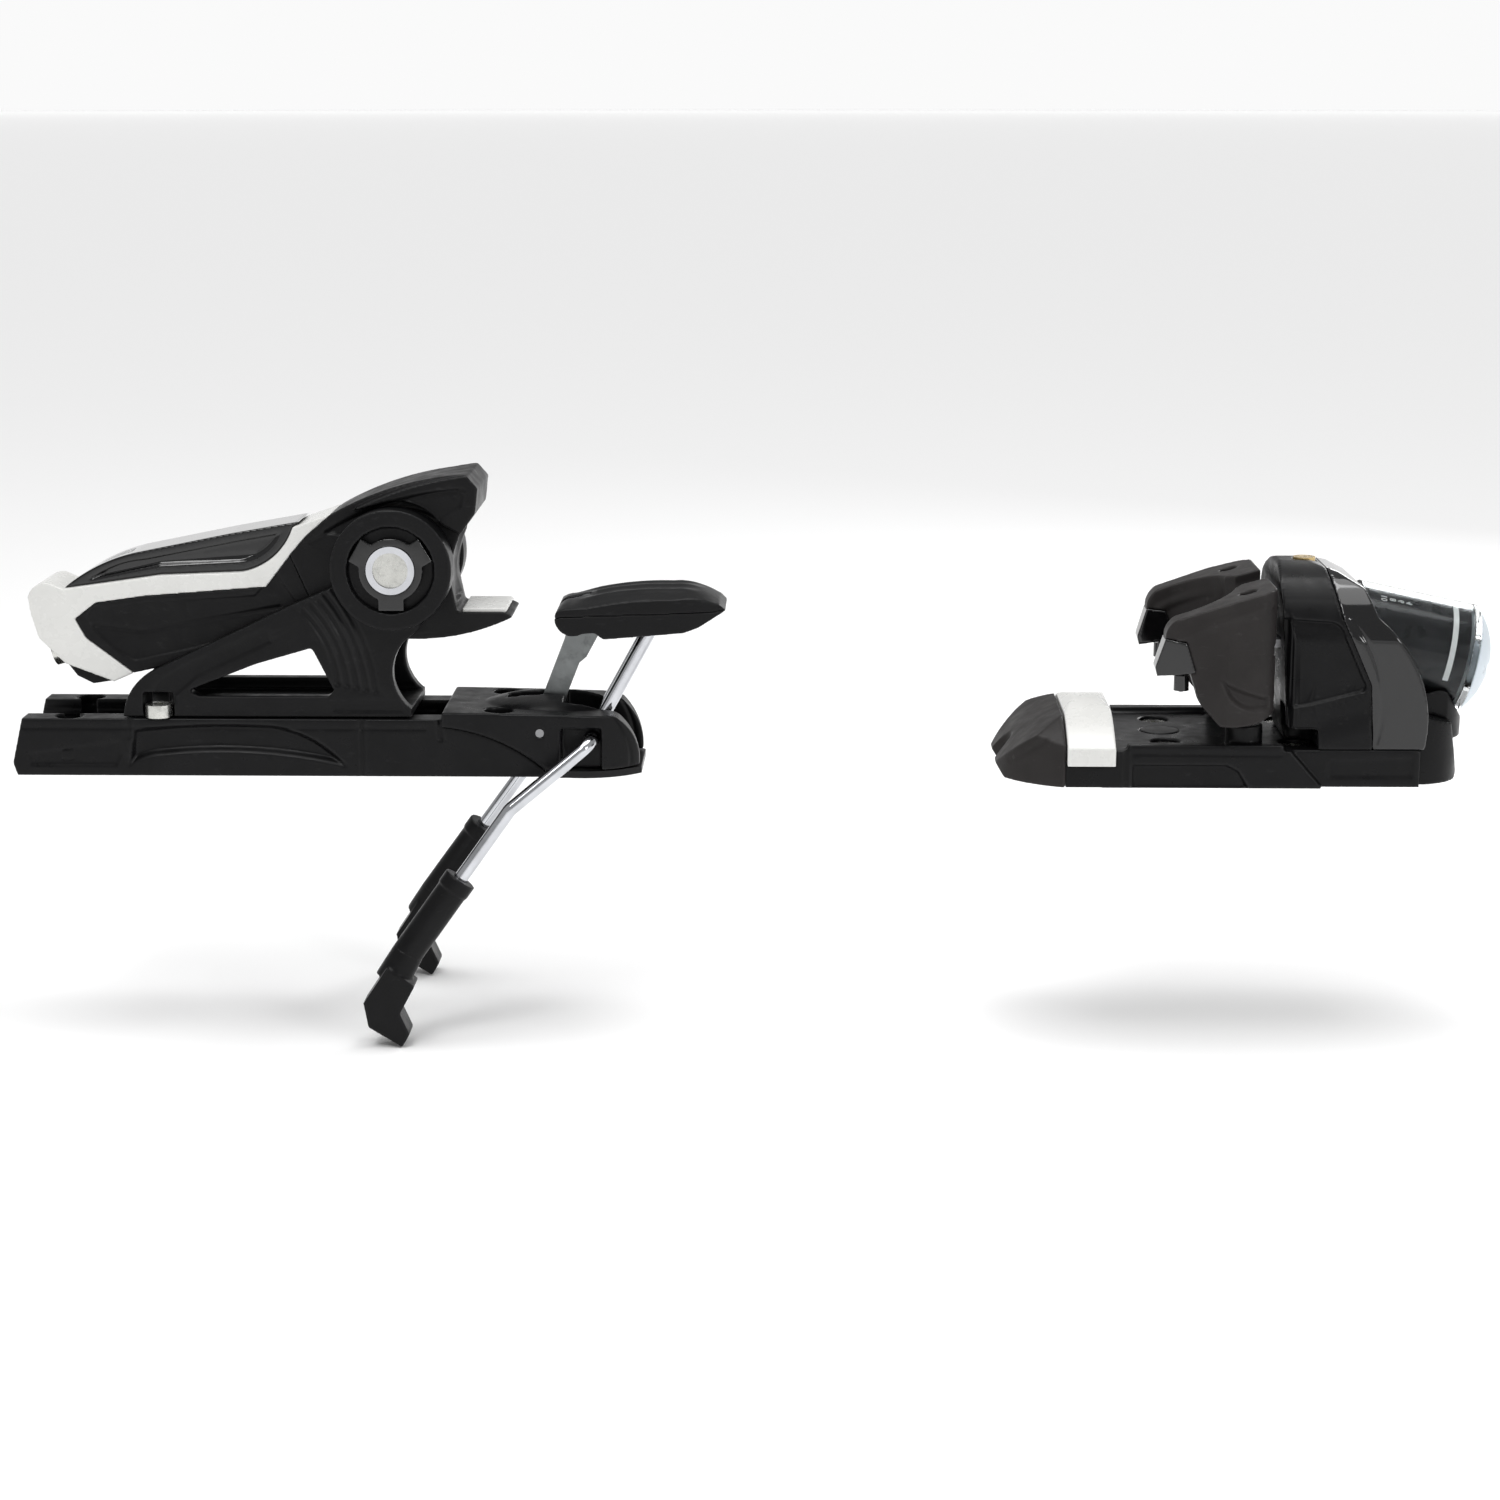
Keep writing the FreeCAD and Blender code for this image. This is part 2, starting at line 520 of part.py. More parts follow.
def arm_sleeve(side):
    """The moulded sleeve on the end of one arm."""
    end, turn = arm_frame(side)
    heading = turn.multVec(Vector(0, 0, 1))
    base = end - heading * 9.0
    collar = cylinder("sleeve_collar", 6.0, 5.0, base.x, base.y, base.z, turn)
    stem_base = base + heading * 5.0
    stem = cylinder("sleeve_stem", 5.6, 29.0, stem_base.x, stem_base.y, stem_base.z, turn)
    hole = cylinder("sleeve_hole", "wire_radius", 9.0, base.x, base.y, base.z, turn)
    return cut("sleeve", fuse("sleeve_blank", collar, stem), hole)


FOOT_SIDE = [(-302.2, -63.8), (-292.4, -70.6), (-298.0, -81.0), (-294.6, -88.6), (-297.4, -93.4),
             (-309.4, -86.0),
             (-311.0, -77.0)]

for side, name in ((-1, "right"), (1, "left")):
    node(brake_wire(side), f"brake_wire_{name}")
feet = [slab("arm_foot", "XZ", [FOOT_SIDE], 12, offset) for offset in ("arm_y - 2.2", "-arm_y - 9.8")]
sleeves = [cut("sleeve_end", arm_sleeve(side), foot) for side, foot in zip((-1, 1), feet)]
node(fuse("feet_pair", *feet), "arm_feet")
node(fuse("sleeve_pair", *sleeves), "arm_sleeves")

LINK_TOP = (size("pedal_pin_x"), size("pedal_pin_z"))
LINK_FOOT = (size("link_x"), size("link_z"))
LINK_SIDE = [(-250.0, 24.0), (-241.0, 47.0), (-238.2, 56.8), ((-231.7, 63.2), (-225.2, 56.8)),
             (-228.6, 48.5), (-233.0, 40.4), (-235.6, 38.2), (-239.8, 27.6), (-243.6, 16.5),
             ((-248.6, 11.5), (-253.6, 16.5))]
link_blank = slab("link_blank", "XZ", [LINK_SIDE], 3.4)
link_eye = across("link_eye", "pin_radius + eye_clearance", "10", "pedal_pin_x", "pedal_pin_z")
link_foot_hole = across("link_foot_hole", "pin_radius + shaft_gap", "10", "link_x", "link_z")
node(cut("link", link_blank, link_eye, link_foot_hole), "brake_link")
node(across("link_pin_bar", "pin_radius", "housing_half - 0.6", "link_x", "link_z"), "link_pin")

PEDAL_TOP_SIDE = [(-243.4, 57.4), ((-241.6, 60.9), (-237.6, 62.4)), ((-215.0, 66.6), (-201.0, 67.0)),
                  ((-191.0, 66.0), (-184.0, 62.6)), (-181.6, 59.6), (-229.2, 58.2)]
PEDAL_BASE_SIDE = [(-229.2, 58.2), (-181.6, 59.6), (-191.6, 53.7), (-196.6, 52.0), (-225.8, 49.6),
                   (-229.0, 52.0),
                   (-233.5, 51.6), ((-240.4, 51.8), (-243.4, 57.4))]


def pedal_base():
    """The pedal's lower shell: bearing for the wires and a pocket for the link."""
    blank = slab("pedal_base_blank", "XZ", [PEDAL_BASE_SIDE], "2 * pedal_half")
    link_room = box("pedal_link_room", (-250, -2.6, 45), (-216, 2.6, 64.0))
    crank_hole = across("pedal_crank_hole", "wire_radius + shaft_gap", "12.2", "crank_x", "crank_z")
    slots = []
    for side in (-1, 1):
        low, high = sorted((side * 3.4, side * 12.4))
        slots.append(box("pedal_wire_slot", (-226, low, 45), (-200, high, 57.2)))
    pin = across("pedal_pin_hole", "pin_radius", "17", "pedal_pin_x", "pedal_pin_z")
    return cut("pedal_base_solid", blank, link_room, crank_hole, pin, *slots)


node(pedal_base(), "pedal_base")
pedal_lid = slab("pedal_lid_blank", "XZ", [PEDAL_TOP_SIDE], "2 * pedal_half")
lid_link_room = box("lid_link_room", (-250, -2.6, 45), (-216, 2.6, 64.0))
lid_wire_room = across("lid_wire_room", "wire_radius + 0.5", "12.4", "crank_x", "crank_z")
pedal_pin_bar = across("pedal_pin_bar", "pin_radius", "17", "pedal_pin_x", "pedal_pin_z")
node(cut("pedal_lid", pedal_lid, lid_link_room, lid_wire_room, pedal_pin_bar), "pedal_top")
node(pedal_pin_bar, "pedal_pin")
node(coil_spring("brake_coil", 2, 1.6, 2.9, 0.3, Vector(size("link_x"), 2.3, size("link_z")), ALONG["Y"]),
     "brake_spring")

# ---------------------------------------------------------------- toe unit: base
TOE_PLAN = [(-60.0, -36.0), (-38.0, -37.0), (31.0, -37.0), (31.0, -34.0), (66.0, -34.0),
            (66.0, 34.0), (31.0, 34.0),
            (31.0, 37.0), (-38.0, 37.0), (-60.0, 36.0)]
NOSE_SIDE = [(-81.0, 0.0), (-60.0, 0.0), (-60.0, 23.4), ((-73.0, 16.0), (-84.0, 4.6))]
NOSE_PLAN = [(-84.5, -14.0), ((-74.0, -29.0), (-60.0, -37.0)), (-60.0, 37.0), ((-74.0, 29.0), (-84.5, 14.0)),
             (-84.5, 8.0), ((-77.0, 0.0), (-84.5, -8.0))]
CROWN = [(-38.0, 0.0), (38.0, 0.0), (38.0, 14.4), ((0.0, 26.4), (-38.0, 14.4))]
PAD_SIDE = [(-59.6, 8.0), (-42.4, 8.0), (-42.4, 24.0), ((-51.0, 27.4), (-59.6, 23.4))]


def toe_base():
    """The toe base plate: deck with side rails, four counterbored holes and a plug hole."""
    deck = slab("toe_deck_blank", "XY", [TOE_PLAN], "toe_deck", 0)
    rails = []
    for side in (-1, 1):
        low, high = sorted((side * 31.5, side * 37.0))
        rails.append(box("toe_rail", (-38, low, 0), (17, high, 15.6)))
    holes = []
    for end in (-1, 1):
        for side in (-1, 1):
            x = f"{end} * toe_pitch_x / 2"
            y = f"{side} * toe_pitch_y / 2"
            holes.append(cylinder("toe_hole", "hole_radius", 60, x, y, -1))
            holes.append(cylinder("toe_counterbore", "head_radius + 0.6", 20, x, y, 9))
    plug_hole = cylinder("toe_plug_hole", 7.1, 20, -23, 0, 9)
    pad_room = box("toe_pad_room", (-61, -60, 8), (-42.4, 60, 40))
    posts = [cylinder("toe_post", 6.6, 9.8, "wing_pin_x", f"{side} * wing_pin_y", 12.0) for side in (-1, 1)]
    pins = [cylinder("toe_pin_hole", "wing_pin_radius", 40, "wing_pin_x", f"{side} * wing_pin_y", 4)
            for side in (-1, 1)]
    blank = fuse("toe_base_blank", deck, *rails, *posts)
    return cut("toe_base_solid", blank, plug_hole, pad_room, *holes, *pins)


node(toe_base(), "toe_base")
toe_screw_set = [ski_screw("toe_screw", f"{end} * toe_pitch_x / 2", f"{side} * toe_pitch_y / 2", 9)
                 for end in (-1, 1) for side in (-1, 1)]
node(fuse("toe_screws_solid", *toe_screw_set), "toe_mounting_screws")
node(cylinder("toe_plug_disc", 7.0, 4.7, -23, 0, 9), "toe_plug")
node(common("nose_solid", slab("nose_side", "XZ", [NOSE_SIDE], 80), slab("nose_plan", "XY", [NOSE_PLAN], 60, 0),
            slab("nose_crown", "YZ", [CROWN], 400)), "afd_nose")
pad_crown = slab("pad_crown", "YZ", [CROWN], 400)
node(common("pad_solid", slab("pad_side", "XZ", [PAD_SIDE], 76), pad_crown), "afd_pad")

# ---------------------------------------------------------------- toe unit: housing and tube
TUBE_TURN = FreeCAD.Rotation(Vector(0, 1, 0), 90 + size("tube_slope"))


def on_tube(distance):
    """A point on the tube's axis, measured from its named point towards the ski tip."""
    return Vector(size("tube_x"), 0, size("tube_z")) + TUBE_TURN.multVec(Vector(0, 0, distance))


def tube_bar(name, radius, start, length):
    """A cylinder on the tube's axis."""
    base = on_tube(start)
    return cylinder(name, radius, length, base.x, base.y, base.z, TUBE_TURN)


HOUSING_TOE = [(15.8, 70.4), (18.9, 20.1), (20.5, 13.5), (49.0, 13.5), (47.6, 37.0), (37.2, 60.0), (33.5, 76.0),
               (29.0, 77.4), (16.6, 77.4)]
COVER_TOE = [(49.0, 13.5), (67.4, 13.5), ((66.0, 38.0), (50.0, 60.5)), (46.0, 70.0), (37.6, 74.8), (33.5, 76.0),
             (37.2, 60.0), (47.6, 37.0)]
SHOULDERS = [(-34.0, 10.0), (34.0, 10.0), (34.0, 42.0), ((30.5, 62.0), (18.0, 73.5)),
             ((0.0, 77.8), (-18.0, 73.5)),
             ((-30.5, 62.0), (-34.0, 42.0))]


def toe_shell(name, side_outline, half, *extra):
    """A shell piece: its side outline under the shared shoulder line, bored for the tube."""
    side = slab(name + "_side", "XZ", [side_outline], f"2 * ({half})")
    shoulders = slab(name + "_shoulders", "YZ", [SHOULDERS], 400)
    chamber = tube_bar(name + "_chamber", 17.4, -40, 20)
    room = tube_bar(name + "_room", "tube_radius + 0.05", -20.5, 60)
    return cut(name + "_solid", common(name + "_blank", side, shoulders), chamber, room, *extra)


scallop_tools = [cylinder("screw_scallop", 6.6, 16, "toe_pitch_x / 2", f"{side} * (toe_pitch_y / 2 + 1)", 12)
                 for side in (-1, 1)]
side_openings = [box("scallop_mouth", ("toe_pitch_x / 2 - 6.6", low, 12), ("toe_pitch_x / 2 + 6.6", high, 21))
                 for low, high in ((-40, -21), (21, 40))]
rod_hole = tube_bar("housing_rod_hole", 4.1, -60, 40)
bracket_seat = box("bracket_seat", (10, -20.1, 47.9), (24.4, 20.1, 51.1))
top_screw_hole = cylinder("top_screw_hole", 4.1, 4, 27.5, 0, 74.8)
node(toe_shell("toe_housing", HOUSING_TOE, "toe_housing_half", *scallop_tools, *side_openings, rod_hole,
               bracket_seat, top_screw_hole), "toe_housing")
toe_cover = node(toe_shell("toe_cover", COVER_TOE, "toe_housing_half"), "toe_cover")
node(cylinder("top_screw_head", 4.0, 3.2, 27.5, 0, 74.8), "toe_top_screw")

BRACKET_PLAN = [(10.2, -20.0), (24.3, -20.0), (24.3, 20.0), (10.2, 20.0), (9.0, 30.5),
                ((4.0, 33.0), (-1.0, 30.5)), ((-1.4, 24.0), (3.0, 18.0)), (3.0, -18.0),
                ((-1.4, -24.0), (-1.0, -30.5)), ((4.0, -33.0), (9.0, -30.5))]
bracket_blank = slab("bracket_blank", "XY", [BRACKET_PLAN], 3.0, 48.0)
bracket_holes = [cylinder("bracket_hole", "wing_pin_radius", 20, "wing_pin_x", f"{side} * wing_pin_y", 40)
                 for side in (-1, 1)]
rod_base = on_tube(-62)
bracket_rod_hole = cylinder("bracket_rod_hole", 4.3, 40, rod_base.x, rod_base.y, rod_base.z, TUBE_TURN)
node(cut("bracket", bracket_blank, *bracket_holes, bracket_rod_hole), "wing_bracket")

node(cut("tube", tube_bar("tube_outer", "tube_radius", -20.2, 41.2),
         tube_bar("tube_inner", "tube_radius - tube_wall", -21, 43)), "scale_window")
node(cut("label", tube_bar("label_outer", "tube_radius - tube_wall - 0.3", -18, 38),
         tube_bar("label_inner", "tube_radius - tube_wall - 1.3", -19, 40)), "scale_sleeve")
node(coil_spring("toe_coil", 6, 37.0, 13.6, 2.1, on_tube(-27), TUBE_TURN), "toe_spring")
plunger = fuse("plunger_blank", tube_bar("plunger_disc", 16.8, -38.4, 5), tube_bar("plunger_rod", 4.0, -46, 63))
node(plunger, "draw_rod")
node(cut("toe_nut", tube_bar("toe_nut_disc", 17.2, 14.6, 4), tube_bar("toe_nut_thread", 4.3, 10, 12)),
     "toe_release_nut")
ring_blank = tube_bar("ring_blank", "tube_radius", 21.1, 2.5)
node(cut("ring", ring_blank, tube_bar("ring_hole", "8 + shaft_gap", 20, 6)), "tube_end_ring")

CAP_RADIUS, CAP_START, CAP_END = 19.5, 23.7, 32.0
CAP_BULGE = 8.0


def toe_cap():
    """The domed and slotted cap that turns the toe's release screw."""
    dome_radius = (CAP_RADIUS ** 2 + CAP_BULGE ** 2) / (2 * CAP_BULGE)
    centre = on_tube(CAP_END - dome_radius)
    dome = doc.addObject("Part::Sphere", "cap_dome")
    bind(dome, "Radius", dome_radius)
    place(dome, centre.x, centre.y, centre.z)
    body = common("cap_body", dome, tube_bar("cap_rim", CAP_RADIUS, CAP_START, 20))
    slot = box("cap_slot", (-1.5, -11, 0), (1.5, 11, 8))
    corner = on_tube(CAP_END - 3.5) + TUBE_TURN.multVec(Vector(-1.5, -11, 0))
    place(slot, corner.x, corner.y, corner.z, TUBE_TURN)
    return cut("toe_cap_solid", fuse("toe_cap_union", body, tube_bar("cap_stem", 8.0, 21.3, 4)), slot)


node(toe_cap(), "toe_release_cap")

FRONT_SIDE = [(68.6, 14.0), (84.6, 14.0), (85.2, 19.2), (84.0, 32.0), (78.5, 33.8), (67.6, 30.0)]
FOOT_TOE = [(66.2, 0.0), (81.4, 0.0), (82.3, 2.2), (78.6, 21.6), (68.0, 24.4), (67.6, 13.8), (66.2, 13.8)]
FOOT_PLAN = [(66.2, -30.0), ((76.0, -26.0), (82.4, -16.0)), (82.4, 16.0), ((76.0, 26.0), (66.2, 30.0))]
FRONT_PLAN = [(66.0, -19.0), (78.0, -18.0), ((84.2, -10.0), (85.4, 0.0)), ((84.2, 10.0), (78.0, 18.0)),
              (66.0, 19.0)]
front_room = tube_bar("front_room", "tube_radius + 0.1", -20, 70)
front_plan = slab("front_plan", "XY", [FRONT_PLAN], 60, 0)
front_blank = common("front_blank", slab("front_side", "XZ", [FRONT_SIDE], 40), front_plan)
front_foot_room = slab("front_foot_room", "XZ", [FOOT_TOE], 80)
node(cut("front_cover", front_blank, front_room, front_foot_room, toe_cover), "tube_under_cover")
foot_side = slab("toe_foot_side", "XZ", [FOOT_TOE], 70)
foot_plan = slab("toe_foot_plan", "XY", [FOOT_PLAN], 60, 0)
foot_blank = common("toe_foot_blank", foot_side, foot_plan)
node(cut("toe_foot_solid", foot_blank, front_room, toe_cover), "toe_front_foot")

# ---------------------------------------------------------------- toe unit: wings
WING_SIDE = [(-28.0, 46.0), (-25.9, 54.3), ((-24.6, 58.4), (-21.7, 61.1)), (-2.0, 67.6), (13.4, 71.8),
             (13.6, 27.4),
             ((4.0, 23.2), (-6.4, 23.0)), (-13.2, 30.7), (-17.0, 42.0)]
WING_PLAN = [(13.4, 9.0), (13.4, 33.4), ((11.6, 36.4), (8.2, 38.8)), (-4.0, 40.0), (-22.0, 38.2), (-29.0, 34.0),
             (-28.0, 27.5), (-17.0, 28.5), ((-6.0, 24.0), (1.0, 13.0)), (4.0, 9.0)]
WING_PAD_SIDE = [(-25.9, 54.0), (-29.2, 43.4), (-28.4, 40.4), (-15.2, 42.2), (-18.6, 53.0)]
WING_PAD_PLAN = [(-30.0, 26.4), (-14.0, 27.4), (-14.0, 39.6), (-22.0, 38.9), (-30.0, 34.6)]
ROLLER_X, ROLLER_Y, ROLLER_Z = -19.6, 33.0, 35.0


def wing_parts():
    """The left wing with its toe pad, before mirroring."""
    side = slab("wing_side", "XZ", [WING_SIDE], 90)
    plan = slab("wing_plan", "XY", [WING_PLAN], 100, 0)
    pin_hole = cylinder("wing_pin_hole", "wing_pin_radius + shaft_gap", 90, "wing_pin_x", "wing_pin_y", 10)
    post_room = cylinder("wing_post_room", 7.6, 13, "wing_pin_x", "wing_pin_y", 9.3)
    bracket_room = box("wing_bracket_room", (-14, -5, 47.6), (20, 34.4, 51.4))
    pad = common("wing_pad_blank", slab("wing_pad_side", "XZ", [WING_PAD_SIDE], 90),
                 slab("wing_pad_plan", "XY", [WING_PAD_PLAN], 100, 0))
    wing = cut("wing_solid", common("wing_blank", side, plan), pin_hole, post_room, bracket_room, pad)
    axle = cylinder("roller_axle", 1.0, 8.2, ROLLER_X, ROLLER_Y, ROLLER_Z - 0.6)
    return wing, fuse("wing_pad_with_axle", pad, axle)


wing_left, pad_left = wing_parts()
wheel = cylinder("roller_wheel", 2.7, 5.4, ROLLER_X, ROLLER_Y, ROLLER_Z)
roller_left = cut("roller_left_solid", wheel, cylinder("roller_hole", 1.06, 20, ROLLER_X, ROLLER_Y, 30))
pin_bars = [cylinder("wing_pin_bar", "wing_pin_radius", 62, "wing_pin_x", f"{side} * wing_pin_y", 4)
            for side in (-1, 1)]
node(fuse("wing_pin_pair", *pin_bars), "wing_pins")
for name, left in (("wing", wing_left), ("wing_pad", pad_left), ("wing_roller", roller_left)):
    right = mirrored(f"{name}_right_solid", left)
    node(left, f"{name}_left")
    node(right, f"{name}_right")

# ---------------------------------------------------------------- write the sub-parts
doc.recompute()
for item in doc.Objects:
    if {"Invalid", "Error"} & set(item.State):
        raise RuntimeError(f"{item.Name} failed: {item.State}")
os.makedirs("parts", exist_ok=True)
for item in NODES:
    shape = item.Shape
    if shape.isNull() or not shape.isValid() or not shape.Solids:
        raise RuntimeError(f"{item.Label} has no valid solid")
    shape.exportStep(f"parts/{item.Label}.step")
    print(f"{item.Label:24s} {len(shape.Solids)} solid(s) {shape.Volume / 1000:9.3f} cm3")
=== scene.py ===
"""Looks of an alpine step-in ski binding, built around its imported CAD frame.

Frame: +X towards the ski tip, +Y to the skier's left, +Z up from the ski. The places and sizes of the
binding's pieces are written in millimetres, and the helpers turn them into metres. The studio is in metres.
"""
import json
import math
from collections import namedtuple

import bmesh
import bpy
import numpy as np
from mathutils import Matrix, Vector


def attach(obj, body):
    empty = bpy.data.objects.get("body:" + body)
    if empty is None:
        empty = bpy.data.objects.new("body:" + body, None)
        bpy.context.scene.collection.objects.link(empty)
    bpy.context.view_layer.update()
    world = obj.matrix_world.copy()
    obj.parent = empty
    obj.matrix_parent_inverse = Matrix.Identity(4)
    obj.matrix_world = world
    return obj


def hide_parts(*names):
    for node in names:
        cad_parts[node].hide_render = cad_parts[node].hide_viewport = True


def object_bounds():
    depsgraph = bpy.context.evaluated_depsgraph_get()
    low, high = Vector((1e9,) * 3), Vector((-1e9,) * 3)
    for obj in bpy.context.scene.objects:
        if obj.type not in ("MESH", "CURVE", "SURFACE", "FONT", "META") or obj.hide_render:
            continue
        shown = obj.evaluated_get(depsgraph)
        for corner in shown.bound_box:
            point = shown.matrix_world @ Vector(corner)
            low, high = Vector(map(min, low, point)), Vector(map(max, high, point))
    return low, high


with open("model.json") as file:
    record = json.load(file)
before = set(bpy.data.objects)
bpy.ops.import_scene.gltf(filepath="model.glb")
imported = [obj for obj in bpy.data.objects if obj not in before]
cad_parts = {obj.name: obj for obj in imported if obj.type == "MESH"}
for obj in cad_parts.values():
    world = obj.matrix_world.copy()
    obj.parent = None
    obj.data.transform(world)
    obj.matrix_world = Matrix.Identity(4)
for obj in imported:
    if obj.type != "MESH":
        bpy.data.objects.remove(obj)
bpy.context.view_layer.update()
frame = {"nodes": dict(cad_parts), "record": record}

MM = 0.001
NODES = frame["nodes"]
RECORD = frame["record"]
BODY_OF = {node: body for body, nodes in RECORD["behaviour"]["bodies"].items() for node in nodes}
SLOT_OF = {entry["node"]: entry["material_slot"] for entry in RECORD["subparts"]}


# ---------------------------------------------------------------- materials
# A mix node has one set of same-named sockets per data type. These are the colour's.
MIX_FACTOR, MIX_FIRST, MIX_SECOND, MIX_RESULT = 0, 6, 7, 2

# Noises: features per metre, octaves, their roughness, and the scale along each axis.
PLASTIC_DRIFT = {"scale": 55.0, "detail": 3.0}
PLASTIC_SCUFFS = {"scale": 420.0, "detail": 7.0, "roughness": 0.72, "stretch": (0.35, 1.0, 1.0)}
PLASTIC_SMEAR = {"scale": 140.0, "detail": 5.0, "roughness": 0.6}
PLASTIC_WAVE = {"scale": 90.0, "detail": 2.0}
METAL_DRIFT = {"scale": 120.0, "detail": 5.0}
METAL_PATCHES = {"scale": 260.0, "detail": 6.0, "roughness": 0.7}
METAL_SMEAR = {"scale": 300.0, "detail": 6.0, "roughness": 0.65}
METAL_BRUSHING = {"scale": 900.0, "detail": 3.0, "roughness": 0.6, "stretch": (0.04, 1.0, 1.0)}
METAL_SCRATCHES = {"scale": 500.0, "detail": 2.0, "roughness": 0.5, "stretch": (1.0, 1.0, 0.06)}
CLEAR_HAZE = {"scale": 160.0, "detail": 6.0, "roughness": 0.65}
CLEAR_MARKS = {"scale": 700.0, "detail": 3.0, "roughness": 0.5, "stretch": (0.08, 1.0, 1.0)}

# Plastic: gains of the colour drift, and the paler colour of worn places.
TINT_RANGE = (0.82, 1.14)
WORN_GAIN, WORN_LIFT = 1.6, 0.035
PLASTIC_GLOSSIEST = 0.04
COAT_ROUGHNESS = 0.08
WAVE_HEIGHT, WAVE_STRENGTH = 0.00008, 0.3
GRAIN_DETAIL, GRAIN_ROUGHNESS = 2.0, 0.6

# Metal: darkening of the colour drift and of the dirty patches.
DRIFT_DARKENING, DIRT_DARKENING = 0.86, 0.35
METAL_GLOSSIEST = 0.03

# Clear plastic: colour, index of refraction, roughness of the clean and hazy places, and its marks.
CLEAR_TINT = (0.93, 0.96, 0.97, 1.0)
CLEAR_IOR = 1.22
CLEAR_ROUGHNESS = (0.01, 0.06)
MARK_HEIGHT, MARK_STRENGTH = 0.00001, 0.5


def new_material(name):
    """A new node material, with its tree and shader."""
    material = bpy.data.materials.new(name)
    material.use_nodes = True
    tree = material.node_tree
    return material, tree, tree.nodes["Principled BSDF"]


def noise_of(tree, scale, detail, roughness=0.55, stretch=None):
    """The height of a noise texture in the object's own coordinates."""
    place = tree.nodes.new("ShaderNodeTexCoord")
    mapping = tree.nodes.new("ShaderNodeMapping")
    if stretch:
        mapping.inputs["Scale"].default_value = stretch
    noise = tree.nodes.new("ShaderNodeTexNoise")
    noise.inputs["Scale"].default_value = scale
    noise.inputs["Detail"].default_value = detail
    noise.inputs["Roughness"].default_value = roughness
    tree.links.new(place.outputs["Object"], mapping.inputs["Vector"])
    tree.links.new(mapping.outputs["Vector"], noise.inputs["Vector"])
    return noise.outputs["Fac"]


def ramp(tree, source, low, high, at):
    """A colour or value ramp between two ends, which stand at two heights of the source."""
    node = tree.nodes.new("ShaderNodeValToRGB")
    for element, position, value in zip(node.color_ramp.elements, at, (low, high)):
        element.position = position
        element.color = (*value, 1.0) if isinstance(value, tuple) else (value, value, value, 1.0)
    tree.links.new(source, node.inputs["Fac"])
    return node.outputs["Color"]


def add_bump(tree, shader, source, distance, strength=1.0, before=None):
    """Bump from a height, chained after another bump."""
    bump = tree.nodes.new("ShaderNodeBump")
    bump.inputs["Distance"].default_value = distance
    bump.inputs["Strength"].default_value = strength
    tree.links.new(source, bump.inputs["Height"])
    if before is not None:
        tree.links.new(before, bump.inputs["Normal"])
    tree.links.new(bump.outputs["Normal"], shader.inputs["Normal"])
    return bump.outputs["Normal"]


def mix(tree, factor, first, second):
    """Colour mix of two sources or constants by a factor."""
    node = tree.nodes.new("ShaderNodeMix")
    node.data_type = "RGBA"
    for index, value in ((MIX_FIRST, first), (MIX_SECOND, second)):
        if isinstance(value, tuple):
            node.inputs[index].default_value = (*value, 1.0)
        else:
            tree.links.new(value, node.inputs[index])
    tree.links.new(factor, node.inputs[MIX_FACTOR])
    return node.outputs[MIX_RESULT]


def plastic(name, colour, rough, spread, grain=0.0, grain_scale=2600.0, wear=0.0, specular=0.15, coat=0.0,
            tint_range=TINT_RANGE):
    """Moulded plastic: colour drift, uneven gloss, fine grain, and paler handled edges and scuffs."""
    material, tree, shader = new_material(name)
    darker, lighter = (tuple(min(1.0, value * gain) for value in colour) for gain in tint_range)
    tint = ramp(tree, noise_of(tree, **PLASTIC_DRIFT), darker, lighter, at=(0.3, 0.7))
    if wear:
        worn = tuple(min(1.0, value * WORN_GAIN + WORN_LIFT) for value in colour)
        scuffs = ramp(tree, noise_of(tree, **PLASTIC_SCUFFS), 0.0, wear, at=(0.60, 0.72))
        tint = mix(tree, scuffs, tint, worn)
        edge = tree.nodes.new("ShaderNodeNewGeometry")
        rim = ramp(tree, edge.outputs["Pointiness"], 0.0, wear, at=(0.51, 0.56))
        tint = mix(tree, rim, tint, worn)
    tree.links.new(tint, shader.inputs["Base Color"])
    gloss = ramp(tree, noise_of(tree, **PLASTIC_SMEAR), max(rough - spread, PLASTIC_GLOSSIEST),
                 min(rough + spread, 1.0), at=(0.3, 0.72))
    tree.links.new(gloss, shader.inputs["Roughness"])
    shader.inputs["Specular IOR Level"].default_value = specular
    shader.inputs["Coat Weight"].default_value = coat
    shader.inputs["Coat Roughness"].default_value = COAT_ROUGHNESS
    normal = add_bump(tree, shader, noise_of(tree, **PLASTIC_WAVE), WAVE_HEIGHT, WAVE_STRENGTH)
    if grain:
        fine = noise_of(tree, grain_scale, GRAIN_DETAIL, GRAIN_ROUGHNESS)
        add_bump(tree, shader, fine, grain * MM, before=normal)
    return material


